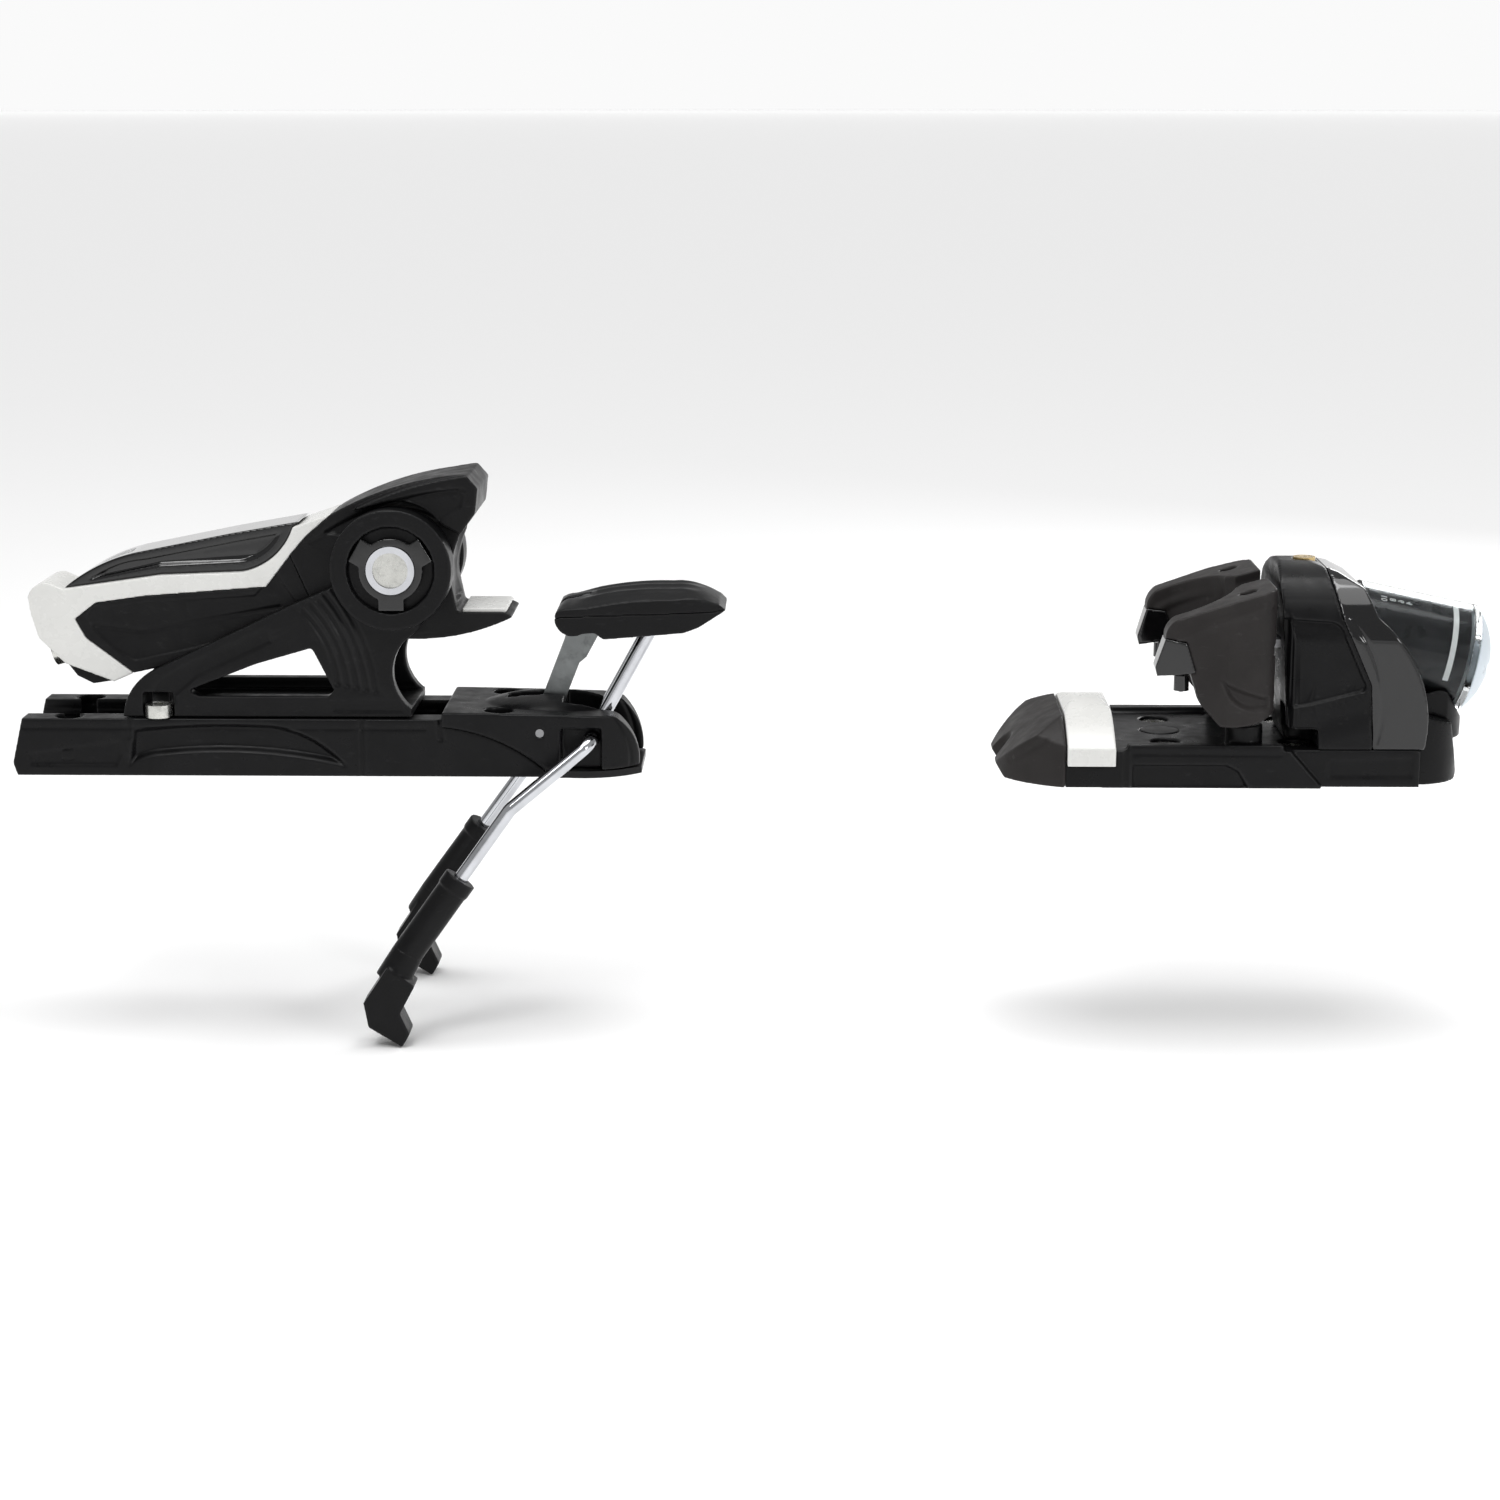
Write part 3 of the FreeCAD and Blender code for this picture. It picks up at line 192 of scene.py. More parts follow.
def metal(name, colour, rough, spread, brushed=0.0, scratches=0.0, dirt=0.0):
    """Metal: tint drift, uneven polish, brushed or scratched surface, and darker patches."""
    material, tree, shader = new_material(name)
    shader.inputs["Metallic"].default_value = 1.0
    darker = tuple(value * DRIFT_DARKENING for value in colour)
    tint = ramp(tree, noise_of(tree, **METAL_DRIFT), darker, colour, at=(0.3, 0.6))
    if dirt:
        patches = ramp(tree, noise_of(tree, **METAL_PATCHES), 0.0, dirt, at=(0.52, 0.7))
        tint = mix(tree, patches, tint, tuple(value * DIRT_DARKENING for value in colour))
    tree.links.new(tint, shader.inputs["Base Color"])
    gloss = ramp(tree, noise_of(tree, **METAL_SMEAR), max(rough - spread, METAL_GLOSSIEST), rough + spread,
                 at=(0.3, 0.7))
    tree.links.new(gloss, shader.inputs["Roughness"])
    normal = None
    if brushed:
        normal = add_bump(tree, shader, noise_of(tree, **METAL_BRUSHING), brushed * MM)
    if scratches:
        lines = ramp(tree, noise_of(tree, **METAL_SCRATCHES), 0.0, 1.0, at=(0.60, 0.64))
        add_bump(tree, shader, lines, scratches * MM, before=normal)
    return material


def clear_plastic(name):
    """Clear polycarbonate with faint haze and hairline marks."""
    material, tree, shader = new_material(name)
    shader.inputs["Base Color"].default_value = CLEAR_TINT
    shader.inputs["Transmission Weight"].default_value = 1.0
    shader.inputs["IOR"].default_value = CLEAR_IOR
    haze = ramp(tree, noise_of(tree, **CLEAR_HAZE), *CLEAR_ROUGHNESS, at=(0.45, 0.8))
    tree.links.new(haze, shader.inputs["Roughness"])
    add_bump(tree, shader, noise_of(tree, **CLEAR_MARKS), MARK_HEIGHT, MARK_STRENGTH)
    return material


LOOKS = {
    "track_black": plastic("track_plastic", (0.0042, 0.0042, 0.0046), rough=0.34, spread=0.10, grain=0.012,
                           wear=0.2),
    "frame_black": plastic("frame_plastic", (0.0048, 0.0048, 0.0052), rough=0.38, spread=0.10, grain=0.045,
                           grain_scale=1200.0, wear=0.2),
    "gloss_black": plastic("gloss_plastic", (0.003, 0.003, 0.0034), rough=0.09, spread=0.04, wear=0.1,
                           specular=0.3, coat=0.6),
    "warm_grey": plastic("grey_plastic", (0.021, 0.019, 0.0186), rough=0.46, spread=0.08, grain=0.03,
                         grain_scale=1500.0, wear=0.2),
    "white_plastic": plastic("white_plastic", (0.66, 0.66, 0.64), rough=0.28, spread=0.06, grain=0.004,
                             specular=0.5, tint_range=(0.96, 1.02)),
    "clear_plastic": clear_plastic("window_plastic"),
    "scale_label": plastic("label_film", (0.012, 0.012, 0.013), rough=0.30, spread=0.06),
    "chrome_wire": metal("chrome", (0.62, 0.63, 0.66), rough=0.10, spread=0.05, brushed=0.002),
    "flat_steel": metal("link_steel", (0.19, 0.20, 0.20), rough=0.40, spread=0.10, brushed=0.012,
                        scratches=0.03, dirt=0.4),
    "zinc_steel": metal("zinc", (0.60, 0.60, 0.57), rough=0.25, spread=0.10, brushed=0.006, dirt=0.4),
    "spring_steel": metal("spring_wire", (0.30, 0.30, 0.31), rough=0.33, spread=0.08, brushed=0.004),
    "cap_white": plastic("cap_plastic", (0.62, 0.69, 0.745), rough=0.34, spread=0.08, grain=0.004,
                         specular=0.5, tint_range=(0.95, 1.03)),
    "brass": metal("brass_screw", (0.72, 0.54, 0.26), rough=0.28, spread=0.08, dirt=0.3),
}

# Nodes that don't look like their material slot.
OTHER_LOOKS = {
    "gloss_black": ("pivot_caps", "wing_pad_left", "wing_pad_right", "wing_roller_left",
                    "wing_roller_right"),
    "spring_steel": ("wing_pins", "wing_bracket", "draw_rod", "link_pin"),
    "cap_white": ("toe_release_cap",),
}
LOOK_OF = {**SLOT_OF, **{node: look for look, nodes in OTHER_LOOKS.items() for node in nodes}}

for node, obj in NODES.items():
    obj.data.materials.clear()
    obj.data.materials.append(LOOKS[LOOK_OF[node]])


# ---------------------------------------------------------------- modelling helpers
ARC_STEPS = 10
ROD_SIDES = 48
DOME_DIVISIONS = 4
SMOOTHING = 0.5
KEPT_FACES = 0.4
STRAIGHT = 1e-6
MERGE_DISTANCE = 1e-7
FAR = 1e9
TINY = 1e-12
# How far a surface's normal has to lean towards the pressed direction: none below, all above.
FACING_FROM, FACING_OVER = 0.45, 0.3

# From a plane's two directions and its normal to X, Y and Z, and the axes in that order.
TO_SPACE = {"XZ": lambda u, v, w: (u, w, v), "XY": lambda u, v, w: (u, v, w)}
PLANE_AXES = {"XZ": (0, 2, 1), "YX": (1, 0, 2)}

Sunk = namedtuple("Sunk", "outline depth soft")
Groove = namedtuple("Groove", "path width depth plane", defaults=("XZ",))


def clamped(value):
    """A value held between 0 and 1."""
    return max(0.0, min(1.0, value))


def arc_points(start, middle, end):
    """Points on the circular arc after start, up to and with end. A straight line if they are in line."""
    (ax, ay), (bx, by), (cx, cy) = start, middle, end
    area = 2 * (ax * (by - cy) + bx * (cy - ay) + cx * (ay - by))
    if abs(area) < STRAIGHT:
        return [end]
    a2, b2, c2 = ax * ax + ay * ay, bx * bx + by * by, cx * cx + cy * cy
    ux = (a2 * (by - cy) + b2 * (cy - ay) + c2 * (ay - by)) / area
    uy = (a2 * (cx - bx) + b2 * (ax - cx) + c2 * (bx - ax)) / area
    radius = math.hypot(ax - ux, ay - uy)
    first, mid, last = (math.atan2(y - uy, x - ux) for x, y in (start, middle, end))
    turn = (last - first) % math.tau
    if (mid - first) % math.tau > turn:
        turn -= math.tau
    angles = [first + turn * i / ARC_STEPS for i in range(1, ARC_STEPS + 1)]
    return [(ux + radius * math.cos(angle), uy + radius * math.sin(angle)) for angle in angles]


def traced(outline):
    """A closed outline as plain points. An entry (mid, end) is an arc through mid."""
    last = outline[-1]
    here = last[1] if isinstance(last[0], tuple) else last
    points = []
    for entry in outline:
        if isinstance(entry[0], tuple):
            points += arc_points(here, *entry)
        else:
            points.append(entry)
        here = points[-1]
    return points


def add_object(name, data):
    """A new object in the scene."""
    obj = bpy.data.objects.new(name, data)
    bpy.context.scene.collection.objects.link(obj)
    return obj


def mesh_object(name, bm):
    """A new object with a finished bmesh's shape."""
    mesh = bpy.data.meshes.new(name)
    bm.to_mesh(mesh)
    bm.free()
    return add_object(name, mesh)


def prism(outline, low, high, plane="XZ"):
    """A closed solid: an outline in a plane, from low to high along the plane's normal."""
    points = traced(outline)
    space = TO_SPACE[plane]
    bm = bmesh.new()
    near = [bm.verts.new(Vector(space(u, v, low)) * MM) for u, v in points]
    far = [bm.verts.new(Vector(space(u, v, high)) * MM) for u, v in points]
    count = len(points)
    bm.faces.new(near)
    bm.faces.new(list(reversed(far)))
    for i in range(count):
        bm.faces.new((near[i], far[i], far[(i + 1) % count], near[(i + 1) % count]))
    bmesh.ops.recalc_face_normals(bm, faces=bm.faces)
    bmesh.ops.triangulate(bm, faces=bm.faces)
    return mesh_object("tool", bm)


def rod(start, end, radius, end_radius=None):
    """A round bar or cone between two points."""
    start, end = Vector(start), Vector(end)
    bm = bmesh.new()
    bmesh.ops.create_cone(bm, cap_ends=True, segments=ROD_SIDES, radius1=radius * MM,
                          radius2=(radius if end_radius is None else end_radius) * MM,
                          depth=(end - start).length * MM)
    turn = Vector((0, 0, 1)).rotation_difference(end - start).to_matrix().to_4x4()
    bmesh.ops.transform(bm, matrix=Matrix.Translation((start + end) / 2 * MM) @ turn, verts=bm.verts)
    bmesh.ops.triangulate(bm, faces=bm.faces)
    return mesh_object("tool", bm)


def block(low, high):
    """A box between two corners."""
    side = [(low[0], low[2]), (high[0], low[2]), (high[0], high[2]), (low[0], high[2])]
    return prism(side, low[1], high[1])


def dome(centre, radii):
    """An ellipsoid."""
    bm = bmesh.new()
    bmesh.ops.create_icosphere(bm, subdivisions=DOME_DIVISIONS, radius=1.0)
    for vertex in bm.verts:
        vertex.co = Vector([(c + r * v) * MM for c, r, v in zip(centre, radii, vertex.co)])
    return mesh_object("tool", bm)


def copied(node):
    """A new object with a CAD node's shape, in the CAD frame."""
    source = NODES[node]
    mesh = source.data.copy()
    mesh.transform(source.matrix_world)
    bm = bmesh.new()
    bm.from_mesh(mesh)
    bmesh.ops.remove_doubles(bm, verts=bm.verts, dist=MERGE_DISTANCE)
    bm.to_mesh(mesh)
    bm.free()
    return add_object("tool", mesh)


def bake(obj):
    """Replace an object's mesh by its shape with every modifier applied."""
    graph = bpy.context.evaluated_depsgraph_get()
    mesh = bpy.data.meshes.new_from_object(obj.evaluated_get(graph))
    old = obj.data
    obj.modifiers.clear()
    obj.data = mesh
    bpy.data.meshes.remove(old)


def discard(obj):
    """Remove a tool object."""
    mesh = obj.data
    bpy.data.objects.remove(obj)
    bpy.data.meshes.remove(mesh)


def combine(base, tools, operation):
    """Boolean of a base with several tools, which are used up."""
    for tool in tools:
        modifier = base.modifiers.new("combine", "BOOLEAN")
        modifier.operation = operation
        modifier.solver = "MANIFOLD"
        modifier.object = tool
        bake(base)
        discard(tool)


def both_sides(make):
    """The tools that make(side) returns for the right and left sides."""
    return [tool for side in (-1, 1) for tool in make(side)]


def moulded(base, voxel, rounds):
    """Round every edge a little, as moulded plastic has it: a fine remesh, then smoothing."""
    remesh = base.modifiers.new("remesh", "REMESH")
    remesh.mode = "VOXEL"
    remesh.voxel_size = voxel * MM
    smooth = base.modifiers.new("smooth", "SMOOTH")
    smooth.factor = SMOOTHING
    smooth.iterations = rounds
    bake(base)


def reshape(obj, move):
    """Move every vertex by a rule that takes and gives millimetres."""
    for vertex in obj.data.vertices:
        vertex.co = Vector(move(*(vertex.co / MM))) * MM


def lighten(obj):
    """Fewer faces on the flat areas, the same shape."""
    fewer = obj.modifiers.new("fewer", "DECIMATE")
    fewer.ratio = KEPT_FACES
    bake(obj)
    for face in obj.data.polygons:
        face.use_smooth = True


def mesh_arrays(obj):
    """Positions in millimetres and normals of every vertex."""
    count = len(obj.data.vertices)
    places, normals = np.empty(count * 3), np.empty(count * 3)
    obj.data.vertices.foreach_get("co", places)
    obj.data.vertex_normals.foreach_get("vector", normals)
    return places.reshape(-1, 3) / MM, normals.reshape(-1, 3)


def distance_to(points, path, closed):
    """Distance from points to a path, and whether each is inside it when it is closed."""
    path = np.array(path, dtype=float)
    ends = np.roll(path, -1, axis=0) if closed else path[1:]
    starts = path if closed else path[:-1]
    best = np.full(len(points), FAR)
    inside = np.zeros(len(points), dtype=bool)
    for a, b in zip(starts, ends):
        edge = b - a
        length = max(float(edge @ edge), TINY)
        t = np.clip(((points - a) @ edge) / length, 0, 1)
        best = np.minimum(best, np.linalg.norm(points - a - t[:, None] * edge, axis=1))
        if closed:
            crosses = (a[1] > points[:, 1]) != (b[1] > points[:, 1])
            slope = (b[0] - a[0]) / ((b[1] - a[1]) or TINY)
            inside ^= crosses & (points[:, 0] < a[0] + (points[:, 1] - a[1]) * slope)
    return best, inside


def soft_step(t):
    """A smooth rise from 0 to 1."""
    return t * t * (3 - 2 * t)


def press(obj, plane, depth, weight_of):
    """Move the surfaces that face along a plane's normal inwards by depth times a weight."""
    u, v, w = PLANE_AXES[plane]
    places, normals = mesh_arrays(obj)
    weight = weight_of(places[:, (u, v)])
    facing = np.clip((np.abs(normals[:, w]) - FACING_FROM) / FACING_OVER, 0, 1)
    places[:, w] -= np.sign(normals[:, w]) * depth * weight * facing
    obj.data.vertices.foreach_set("co", (places * MM).ravel())
    obj.data.update()


def sink(obj, area):
    """Press an area of both sides in, with a soft rim."""
    def weight_of(points):
        away, inside = distance_to(points, traced(area.outline), True)
        return soft_step(np.clip(away / area.soft, 0, 1) * inside)
    press(obj, "XZ", area.depth, weight_of)


def engrave(obj, groove):
    """Press a groove in along a path, or raise a ridge if its depth is negative."""
    def weight_of(points):
        away, _ = distance_to(points, groove.path, False)
        return soft_step(np.clip(1 - away / groove.width, 0, 1))
    press(obj, groove.plane, groove.depth, weight_of)


def finish_piece(obj, name, body, look):
    """Name a finished piece, give it its material, and let it ride on its body."""
    obj.name = name
    obj.data.name = name
    obj.data.materials.clear()
    obj.data.materials.append(LOOKS[look])
    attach(obj, body)


def piece(node, name, voxel, rounds, cut=(), join=(), sunk=(), grooves=(), shape=None):
    """A moulded piece in a CAD node's place: its solid, cut and joined, rounded, then detailed."""
    obj = copied(node)
    combine(obj, join, "UNION")
    combine(obj, cut, "DIFFERENCE")
    moulded(obj, voxel * (1.0), rounds)
    for area in sunk:
        sink(obj, area)
    for groove in grooves:
        engrave(obj, groove)
    if shape:
        reshape(obj, shape)
    lighten(obj)
    finish_piece(obj, name, BODY_OF[node], LOOK_OF[node])
    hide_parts(node)


# ---------------------------------------------------------------- heel unit
def build_track():
    """The heel unit's fixed track."""
    lens = [(-398.4, 2.4), (-396.6, 17.6), ((-370, 19.6), (-345, 19.2)), ((-329.4, 13.6), (-317.4, 2.8)),
            ((-350, 8.0), (-386, 7.2)), ((-393, 5.6), (-398.4, 2.4))]
    step = [(-434, 3.2), (-402, 3.2), (-400, 7.4), (-400, 13.4), (-435, 8.2)]
    piece("heel_track", "track_body", voxel=0.6, rounds=3,
          sunk=[Sunk(lens, depth=2.6, soft=2.6), Sunk(step, depth=0.6, soft=1.2)],
          grooves=[Groove([(-313, -1), (-313, 22)], width=1.2, depth=0.8),
                   Groove([(-284.6, 14), (-284.6, 22)], width=1.4, depth=0.9),
                   Groove([(-397, 14), (-397, 22)], width=1.1, depth=0.6),
                   Groove([(-438, 17.6), (-290, 17.6)], width=0.9, depth=0.35)])


def frame_ribs(count=5):
    """Curved grooves down the frame's front web, fanned out towards the foot."""
    ribs = []
    for i in range(count):
        top = (-334.0 + 2.9 * i, 60.4 + 2.0 * i)
        bottom = (-321.6 + 3.4 * i, 34.0 - 0.7 * i)
        middle = ((top[0] + bottom[0]) / 2 + 2.2, (top[1] + bottom[1]) / 2 + 1.5)
        ribs.append(Groove([top, *arc_points(top, middle, bottom)], width=1.6, depth=0.9))
    return ribs


def build_frame():
    """The sliding frame and the lobed caps of its pivot."""
    bar = [(-391, 26.5), (-386, 34.5), (-377, 40.4), (-346, 54.4), (-344.5, 48.6), (-372.5, 35.4),
           (-380, 29), (-380, 26.0)]
    foot = [(-324, 22.9), (-324, 27.6), (-299, 27.6), (-297.6, 22.9)]
    piece("heel_frame", "frame_body", voxel=0.6, rounds=3, grooves=frame_ribs(),
          sunk=[Sunk(bar, depth=0.6, soft=1.0), Sunk(foot, depth=0.5, soft=1.0)])
    piece("pivot_caps", "pivot_lobes", voxel=0.35, rounds=3)


def build_brake_housing():
    """The brake's housing: a low mound, slotted for the link and the wires."""
    mound = dome((-246, 0, 21.0), (27, 19.5, 6.2))
    link_slot = block((-262, -4.4, 17), (-205, 4.4, 40))
    wire_slot = block((-241, -12.5, 17), (-200, 12.5, 40))
    rear_gap = block((-290, -26, 17), (-283.9, 26, 40))
    screw_wells = both_sides(lambda side: [rod((-264, 17.5 * side, 5), (-264, 17.5 * side, 40), 5.2)])
    sweep = [(-283, 15.4), *arc_points((-283, 15.4), (-262, 11.6), (-246, 2.5))]
    front_seam = [(-222, 23), *arc_points((-222, 23), (-217.4, 14), (-216.4, 2))]
    piece("brake_housing", "brake_cover", voxel=0.55, rounds=4, join=[mound],
          cut=[link_slot, wire_slot, rear_gap, *screw_wells],
          grooves=[Groove(sweep, width=1.1, depth=0.6), Groove(front_seam, width=1.0, depth=0.5)])


def build_heel_jaw():
    """The boot heel cup with its spur."""
    plate = [(-327, 88), (-318, 93), ((-298, 101), (-277, 104.4)), (-274.6, 102), (-275.6, 97.5),
             (-284, 91.8), ((-292, 95.4), (-303, 95.0)), (-320, 86)]
    brow = [(-331, 84), (-316, 92.4), *arc_points((-316, 92.4), (-297, 100.0), (-275, 104))]
    crease = 18
    piece("heel_cup", "cup_body", voxel=0.6, rounds=3, sunk=[Sunk(plate, depth=0.8, soft=1.0)],
          grooves=[Groove(brow, width=1.1, depth=0.5),
                   Groove([(-crease, -318), (-crease, -275)], width=1.2, depth=0.6, plane="YX"),
                   Groove([(crease, -318), (crease, -275)], width=1.2, depth=0.6, plane="YX")])
    piece("spur_pad", "spur_pad_body", voxel=0.35, rounds=3)


def build_lever():
    """The long step-in lever: top window, side panels, white shell and end plug."""
    window = [(-413, 69.6), ((-404, 75.2), (-391.6, 78.2)), (-359, 84.6), (-341.4, 87.8),
              ((-347, 80.4), (-357, 76.4)), (-386, 74.8)]
    window_line = [(-411, 70.6), (-386, 76.8), (-352, 79.4)]
    panel = [(-412.5, 54.5), ((-412.2, 58.6), (-406, 60.4)), (-391, 62.4), (-352, 65.2), (-344, 74),
             (-336, 62), (-343, 53.6), (-374, 45.2), (-396, 40.2), ((-405, 46), (-412.5, 54.5))]
    panel_line = [(-410.5, 53.8), (-393, 51.6), (-343, 60.4)]
    piece("lever_top_insert", "lever_window", voxel=0.45, rounds=2, sunk=[Sunk(window, depth=1.0, soft=1.4)],
          grooves=[Groove(window_line, width=1.0, depth=0.35)])
    piece("lever_housing", "lever_panel", voxel=0.55, rounds=3, sunk=[Sunk(panel, depth=0.7, soft=1.0)],
          grooves=[Groove(panel_line, width=1.3, depth=0.5)])
    piece("lever_band", "lever_shell", voxel=0.5, rounds=4)
    piece("lever_end_plug", "lever_plug", voxel=0.35, rounds=3)


# The pedal's front end narrows from an X over a length, by a part of its width.
NARROW_FROM, NARROW_OVER, NARROWING = -204, 22, 0.30
# Its top has ridges along X, which fade out at both ends, on a slightly lowered ground.
RIDGE_REAR, RIDGE_FRONT, RIDGE_FADE = -236, -190, 8
RIDGE_LINES, RIDGE_WIDTH, RIDGE_HEIGHT, GROUND_DEPTH = (-9.5, 0, 9.5), 2.6, 0.9, 0.5
# It is crowned: it falls off towards its sides, at half its width. Only what is above the seam moves.
TOP_FROM, TOP_OVER = 59.6, 4
CROWN_DROP, CROWN_HALF_WIDTH, CROWN_POWER = 2.6, 18, 3.0


def narrowed(x, y, z):
    """The pedal's outline, drawn in at its front corners."""
    front = clamped((x - NARROW_FROM) / NARROW_OVER)
    return x, y * (1 - NARROWING * front * front), z


def ridged(x, y, z):
    """The pedal's top: narrowed, crowned and ridged."""
    x, y, z = narrowed(x, y, z)
    along = clamped(min((x - RIDGE_REAR) / RIDGE_FADE, (RIDGE_FRONT - x) / RIDGE_FADE))
    raised = sum(math.exp(-((y - line) / RIDGE_WIDTH) ** 2) for line in RIDGE_LINES)
    top = clamped((z - TOP_FROM) / TOP_OVER)
    crown = CROWN_DROP * (abs(y) / CROWN_HALF_WIDTH) ** CROWN_POWER
    return x, y, z + ((RIDGE_HEIGHT * raised - GROUND_DEPTH) * along - crown) * top


def build_brake():
    """Pedal, arm sleeves and feet. A collar closes the gap between each sleeve and its foot."""
    collars = both_sides(
        lambda side: [rod((-295.2, 44.1 * side, -59.6), (-301.4, 45.6 * side, -70.2), 5.7, end_radius=6.3)])
    piece("pedal_top", "pedal_cover", voxel=0.5, rounds=4, shape=ridged)
    piece("pedal_base", "pedal_body", voxel=0.5, rounds=3, shape=narrowed)
    piece("arm_sleeves", "arm_tubes", voxel=0.4, rounds=3)
    piece("arm_feet", "arm_pads", voxel=0.5, rounds=5, join=collars)


# ---------------------------------------------------------------- toe unit
def build_toe_base():
    """Base plate, nose, sliding pad, front foot, tube cover and plug."""
    ledge = [(-36.6, -4), (-36.6, 8.8), (-3, 8.8), (1.4, 6.4), (8, -4)]
    flange = [(33, 3), (33, 9.6), (64, 11), (64, 3)]
    slant = [(17.5, 16), (32, -0.6), (32, 16)]
    rail_inside, rail_outside = 34.1, 39
    rail_ends = both_sides(lambda side: [prism(slant, *sorted((rail_inside * side, rail_outside * side)))])
    nose_crease = [(-79, 7), (-66, 17.5), (-61, 21)]
    piece("toe_base", "toe_plate", voxel=0.6, rounds=3, cut=rail_ends,
          sunk=[Sunk(ledge, depth=1.8, soft=0.9), Sunk(flange, depth=0.5, soft=0.8)],
          grooves=[Groove([(-38.6, 0), (-38.6, 16)], width=1.2, depth=0.7),
                   Groove([(-36, 12.6), (16, 12.2)], width=0.9, depth=0.35)])
    piece("afd_nose", "nose_body", voxel=0.55, rounds=6, grooves=[Groove(nose_crease, width=1.4, depth=0.4)])
    piece("afd_pad", "sole_pad", voxel=0.5, rounds=4)
    piece("toe_front_foot", "front_foot", voxel=0.5, rounds=4)
    piece("tube_under_cover", "under_cover", voxel=0.5, rounds=4)
    piece("toe_plug", "round_plug", voxel=0.4, rounds=2)


def build_toe_housing():
    """Housing with its sunk panels, cut corners and screw scallops, and the arch over it."""
    panel = [(14, 60.8), (33.2, 59.6), ((37.2, 57.4), (38.6, 54)), (45.6, 38.6),
             ((46.4, 35.6), (43.6, 33.6)), (26, 29), (14, 27.4)]
    above_skirt = [(10, 13), (23, 13), (69, 25.5), (80, 28), (80, 90), (10, 90)]
    facet = [(12, 78.6), (12, 71.4), (19.4, 79.4)]
    corner = [(14.6, 30), (14.6, 39), (27.4, 39), (21.6, 34.2), (18.6, 30)]
    corners_and_scallops = both_sides(
        lambda side: [prism([(u, v * side) for u, v in corner], 14, 80, "XY"),
                      rod((23, 27 * side, 8), (23, 27 * side, 17.5), 6.4)])
    arch_line = [(49.4, 14), *arc_points((49.4, 14), (51, 38), (40, 60))]
    piece("toe_housing", "head_shell", voxel=0.6, rounds=4,
          cut=[prism(facet, -40, 40), *corners_and_scallops],
          sunk=[Sunk(above_skirt, depth=1.1, soft=9.0), Sunk(panel, depth=1.8, soft=1.1)])
    piece("toe_cover", "head_arch", voxel=0.55, rounds=7, grooves=[Groove(arch_line, width=1.2, depth=0.5)])


def build_wings():
    """Both wings with their glossy inserts."""
    scoop = [(-7.6, 41.4), ((0, 37.4), (11.8, 33.6)), (11.8, 29), ((0, 29.6), (-5, 35)), (-7.6, 41.4)]
    brow = [(-21, 54), *arc_points((-21, 54), (-6, 60.5), (12.4, 66))]
    for side in ("left", "right"):
        piece("wing_" + side, "wing_" + side + "_body", voxel=0.5, rounds=5,
              sunk=[Sunk(scoop, depth=1.9, soft=2.6)], grooves=[Groove(brow, width=2.6, depth=-0.7)])
        piece("wing_pad_" + side, "wing_" + side + "_insert", voxel=0.4, rounds=4)


def build_release_tube():
    """The clear tube's rim and the pale dome that closes it."""
    piece("tube_end_ring", "tube_rim", voxel=0.3, rounds=2)
    piece("toe_release_cap", "release_dome", voxel=0.4, rounds=4)


# ---------------------------------------------------------------- release scale
# The scale is printed on a sleeve round the release tube, whose axis points forwards and down.
SLEEVE_MIDDLE = Vector((64, 0, 45))
SLEEVE_TILT = math.radians(12)
SLEEVE_RADIUS = 19.0
SLEEVE_AHEAD = Vector((math.cos(SLEEVE_TILT), 0, -math.sin(SLEEVE_TILT)))
SLEEVE_UP = Vector((math.sin(SLEEVE_TILT), 0, math.cos(SLEEVE_TILT)))
# Each number, and where it stands along the tube.
SCALE_NUMBERS = (("10", -11.4), ("8", -8.2), ("6", -5.2), ("4", -2.2))
NUMBER_SIZE, NUMBER_TURN, NUMBER_LIFT, NUMBER_THICKNESS, NUMBER_CURVE_STEPS = 3.3, 0.5, 0.12, 0.06, 4
# The setting line: its ends along the tube, half its turn round it, and its heights above the sleeve.
LINE_REAR, LINE_FRONT, LINE_TURN, LINE_STEPS = 13.2, 15.2, 1.9, 72
LINE_FOOT, LINE_TOP = 0.04, 0.2
SCALE_MERGE_DISTANCE = 1e-8


def around_sleeve(along, turn, height):
    """A point by its place along the sleeve, its angle from the top towards -Y, and its height."""
    out = SLEEVE_UP * math.cos(turn) + Vector((0, -1, 0)) * math.sin(turn)
    return (SLEEVE_MIDDLE + SLEEVE_AHEAD * along + out * (SLEEVE_RADIUS + height)) * MM


def add_number(bm, digits, along):
    """One number, laid round the sleeve."""
    font = bpy.data.curves.new("digit", "FONT")
    font.body = digits
    font.size = NUMBER_SIZE
    font.align_x = "CENTER"
    font.extrude = NUMBER_THICKNESS
    font.resolution_u = NUMBER_CURVE_STEPS
    shown = add_object("digit", font)
    flat = bpy.data.meshes.new_from_object(shown)
    bpy.data.objects.remove(shown)
    bpy.data.curves.remove(font)
    for vertex in flat.vertices:
        x, y, z = vertex.co
        vertex.co = around_sleeve(along - y, NUMBER_TURN + x / SLEEVE_RADIUS, NUMBER_LIFT + z)
    bm.from_mesh(flat)
    bpy.data.meshes.remove(flat)


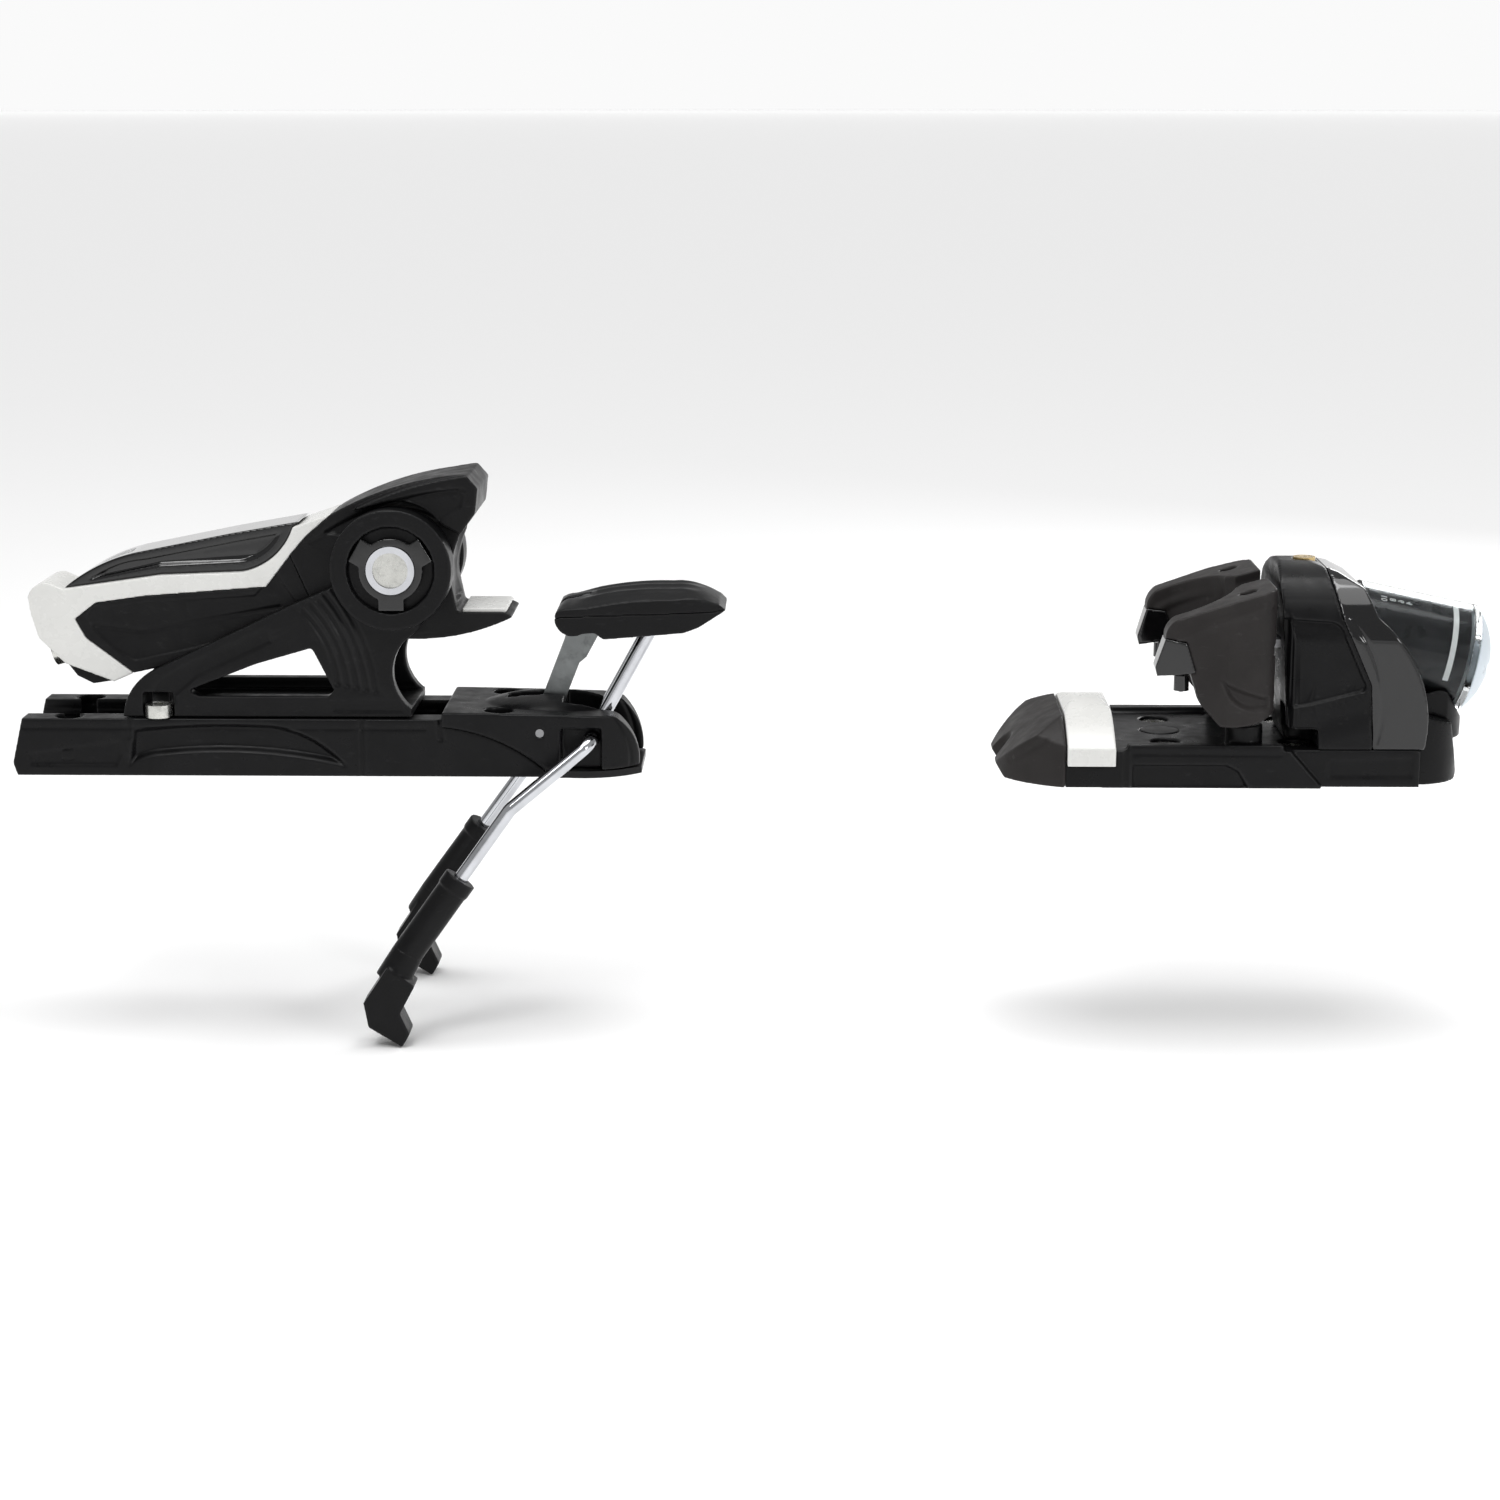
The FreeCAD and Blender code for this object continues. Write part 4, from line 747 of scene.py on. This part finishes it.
def add_line(bm):
    """The setting line, a thin closed band over the sleeve's top."""
    section = ((LINE_REAR, LINE_FOOT), (LINE_FRONT, LINE_FOOT), (LINE_FRONT, LINE_TOP),
               (LINE_REAR, LINE_TOP))
    rings = []
    for i in range(LINE_STEPS + 1):
        turn = -LINE_TURN + 2 * LINE_TURN * i / LINE_STEPS
        rings.append([bm.verts.new(around_sleeve(along, turn, height)) for along, height in section])
    count = len(section)
    for one, two in zip(rings, rings[1:]):
        for k in range(count):
            bm.faces.new((one[k], one[(k + 1) % count], two[(k + 1) % count], two[k]))
    bm.faces.new(rings[0])
    bm.faces.new(list(reversed(rings[-1])))


def build_scale():
    """White numbers and the setting line on the release tube's sleeve."""
    bm = bmesh.new()
    for digits, along in SCALE_NUMBERS:
        add_number(bm, digits, along)
    add_line(bm)
    bmesh.ops.remove_doubles(bm, verts=bm.verts, dist=SCALE_MERGE_DISTANCE)
    bmesh.ops.recalc_face_normals(bm, faces=bm.faces)
    marks = mesh_object("scale_marks", bm)
    finish_piece(marks, "scale_marks", "root", "white_plastic")


# ---------------------------------------------------------------- studio
FLOOR_GAP = 0.0005
FLOOR_HALF_SIZE = 60.0
FLOOR_WHITE = (0.93, 0.93, 0.93, 1.0)
FLOOR_ROUGHNESS = 0.9
WALL_RADIUS = 30.0
WALL_HEIGHT = 4.0
WALL_SIDES = 96
WALL_GLOW = 0.93
WHITE = (1.0, 1.0, 1.0, 1.0)
BLACK = (0.0, 0.0, 0.0, 1.0)
WORLD_GLOW = 0.40
SUN_STRENGTH, SUN_ANGLE, SUN_HEIGHT = 1.55, 0.9, 2.0
LAMPS_AIM = Vector((-0.17, 0.0, 0.03))
# Each lamp's name, place, width and power in watts.
LAMPS = (
    ("key", (-0.55, -0.75, 1.05), 0.45, 5.0),
    ("top", (0.0, 0.15, 1.2), 0.4, 2.4),
    ("rim", (0.45, 0.9, 0.5), 0.4, 3.4),
    ("front", (0.75, -1.0, 0.5), 0.3, 3.0),
)
CAMERA_PLACE = (-0.15284, -1.11539, 0.24864)
CAMERA_LENS, CAMERA_SENSOR = 74.4, 36.0
# Downwards, and from +Y towards -X.
CAMERA_PITCH, CAMERA_YAW = math.radians(12.3016), math.radians(1.0473)


def facing(direction):
    """The turn of a lamp or camera that looks along a direction."""
    return direction.to_track_quat("-Z", "Y").to_euler()


def build_floor(floor_z):
    """A wide pale floor."""
    bm = bmesh.new()
    bmesh.ops.create_grid(bm, x_segments=1, y_segments=1, size=FLOOR_HALF_SIZE)
    floor = mesh_object("floor", bm)
    floor.location.z = floor_z
    paper, _, shader = new_material("floor_paper")
    shader.inputs["Base Color"].default_value = FLOOR_WHITE
    shader.inputs["Roughness"].default_value = FLOOR_ROUGHNESS
    floor.data.materials.append(paper)


def build_wall(floor_z):
    """A bright backdrop all round, beyond the floor that the camera sees."""
    bm = bmesh.new()
    bmesh.ops.create_cone(bm, cap_ends=False, segments=WALL_SIDES, radius1=WALL_RADIUS, radius2=WALL_RADIUS,
                          depth=WALL_HEIGHT)
    wall = mesh_object("wall", bm)
    wall.location.z = floor_z + WALL_HEIGHT / 2
    paper, _, shader = new_material("wall_paper")
    shader.inputs["Base Color"].default_value = BLACK
    shader.inputs["Emission Color"].default_value = WHITE
    shader.inputs["Emission Strength"].default_value = WALL_GLOW
    wall.data.materials.append(paper)


def build_lights():
    """A soft sky with a broad sun, and four area lamps aimed at the binding."""
    world = bpy.data.worlds.new("studio")
    bpy.context.scene.world = world
    world.use_nodes = True
    background = world.node_tree.nodes["Background"]
    background.inputs["Color"].default_value = WHITE
    background.inputs["Strength"].default_value = WORLD_GLOW
    sun = bpy.data.lights.new("sky", "SUN")
    sun.energy = SUN_STRENGTH
    sun.angle = SUN_ANGLE
    add_object("sky", sun).location = (0.0, 0.0, SUN_HEIGHT)
    for name, place, width, power in LAMPS:
        lamp = bpy.data.lights.new(name, "AREA")
        lamp.energy = power
        lamp.size = width
        light = add_object(name, lamp)
        light.location = place
        light.rotation_euler = facing(LAMPS_AIM - Vector(place))


def build_camera():
    """A camera on the near side, looking slightly down."""
    camera_data = bpy.data.cameras.new("camera")
    camera_data.lens = CAMERA_LENS
    camera_data.sensor_width = CAMERA_SENSOR
    camera = add_object("camera", camera_data)
    camera.location = CAMERA_PLACE
    level = math.cos(CAMERA_PITCH)
    ahead = Vector((-math.sin(CAMERA_YAW) * level, math.cos(CAMERA_YAW) * level, -math.sin(CAMERA_PITCH)))
    camera.rotation_euler = facing(ahead)
    bpy.context.scene.camera = camera
    bpy.context.scene.view_settings.view_transform = "Standard"


build_track()
build_frame()
build_brake_housing()
build_heel_jaw()
build_lever()
build_brake()
build_toe_base()
build_toe_housing()
build_wings()
build_release_tube()
build_scale()

FLOOR_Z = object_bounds()[0][2] - FLOOR_GAP
build_floor(FLOOR_Z)
build_wall(FLOOR_Z)
build_lights()
build_camera()
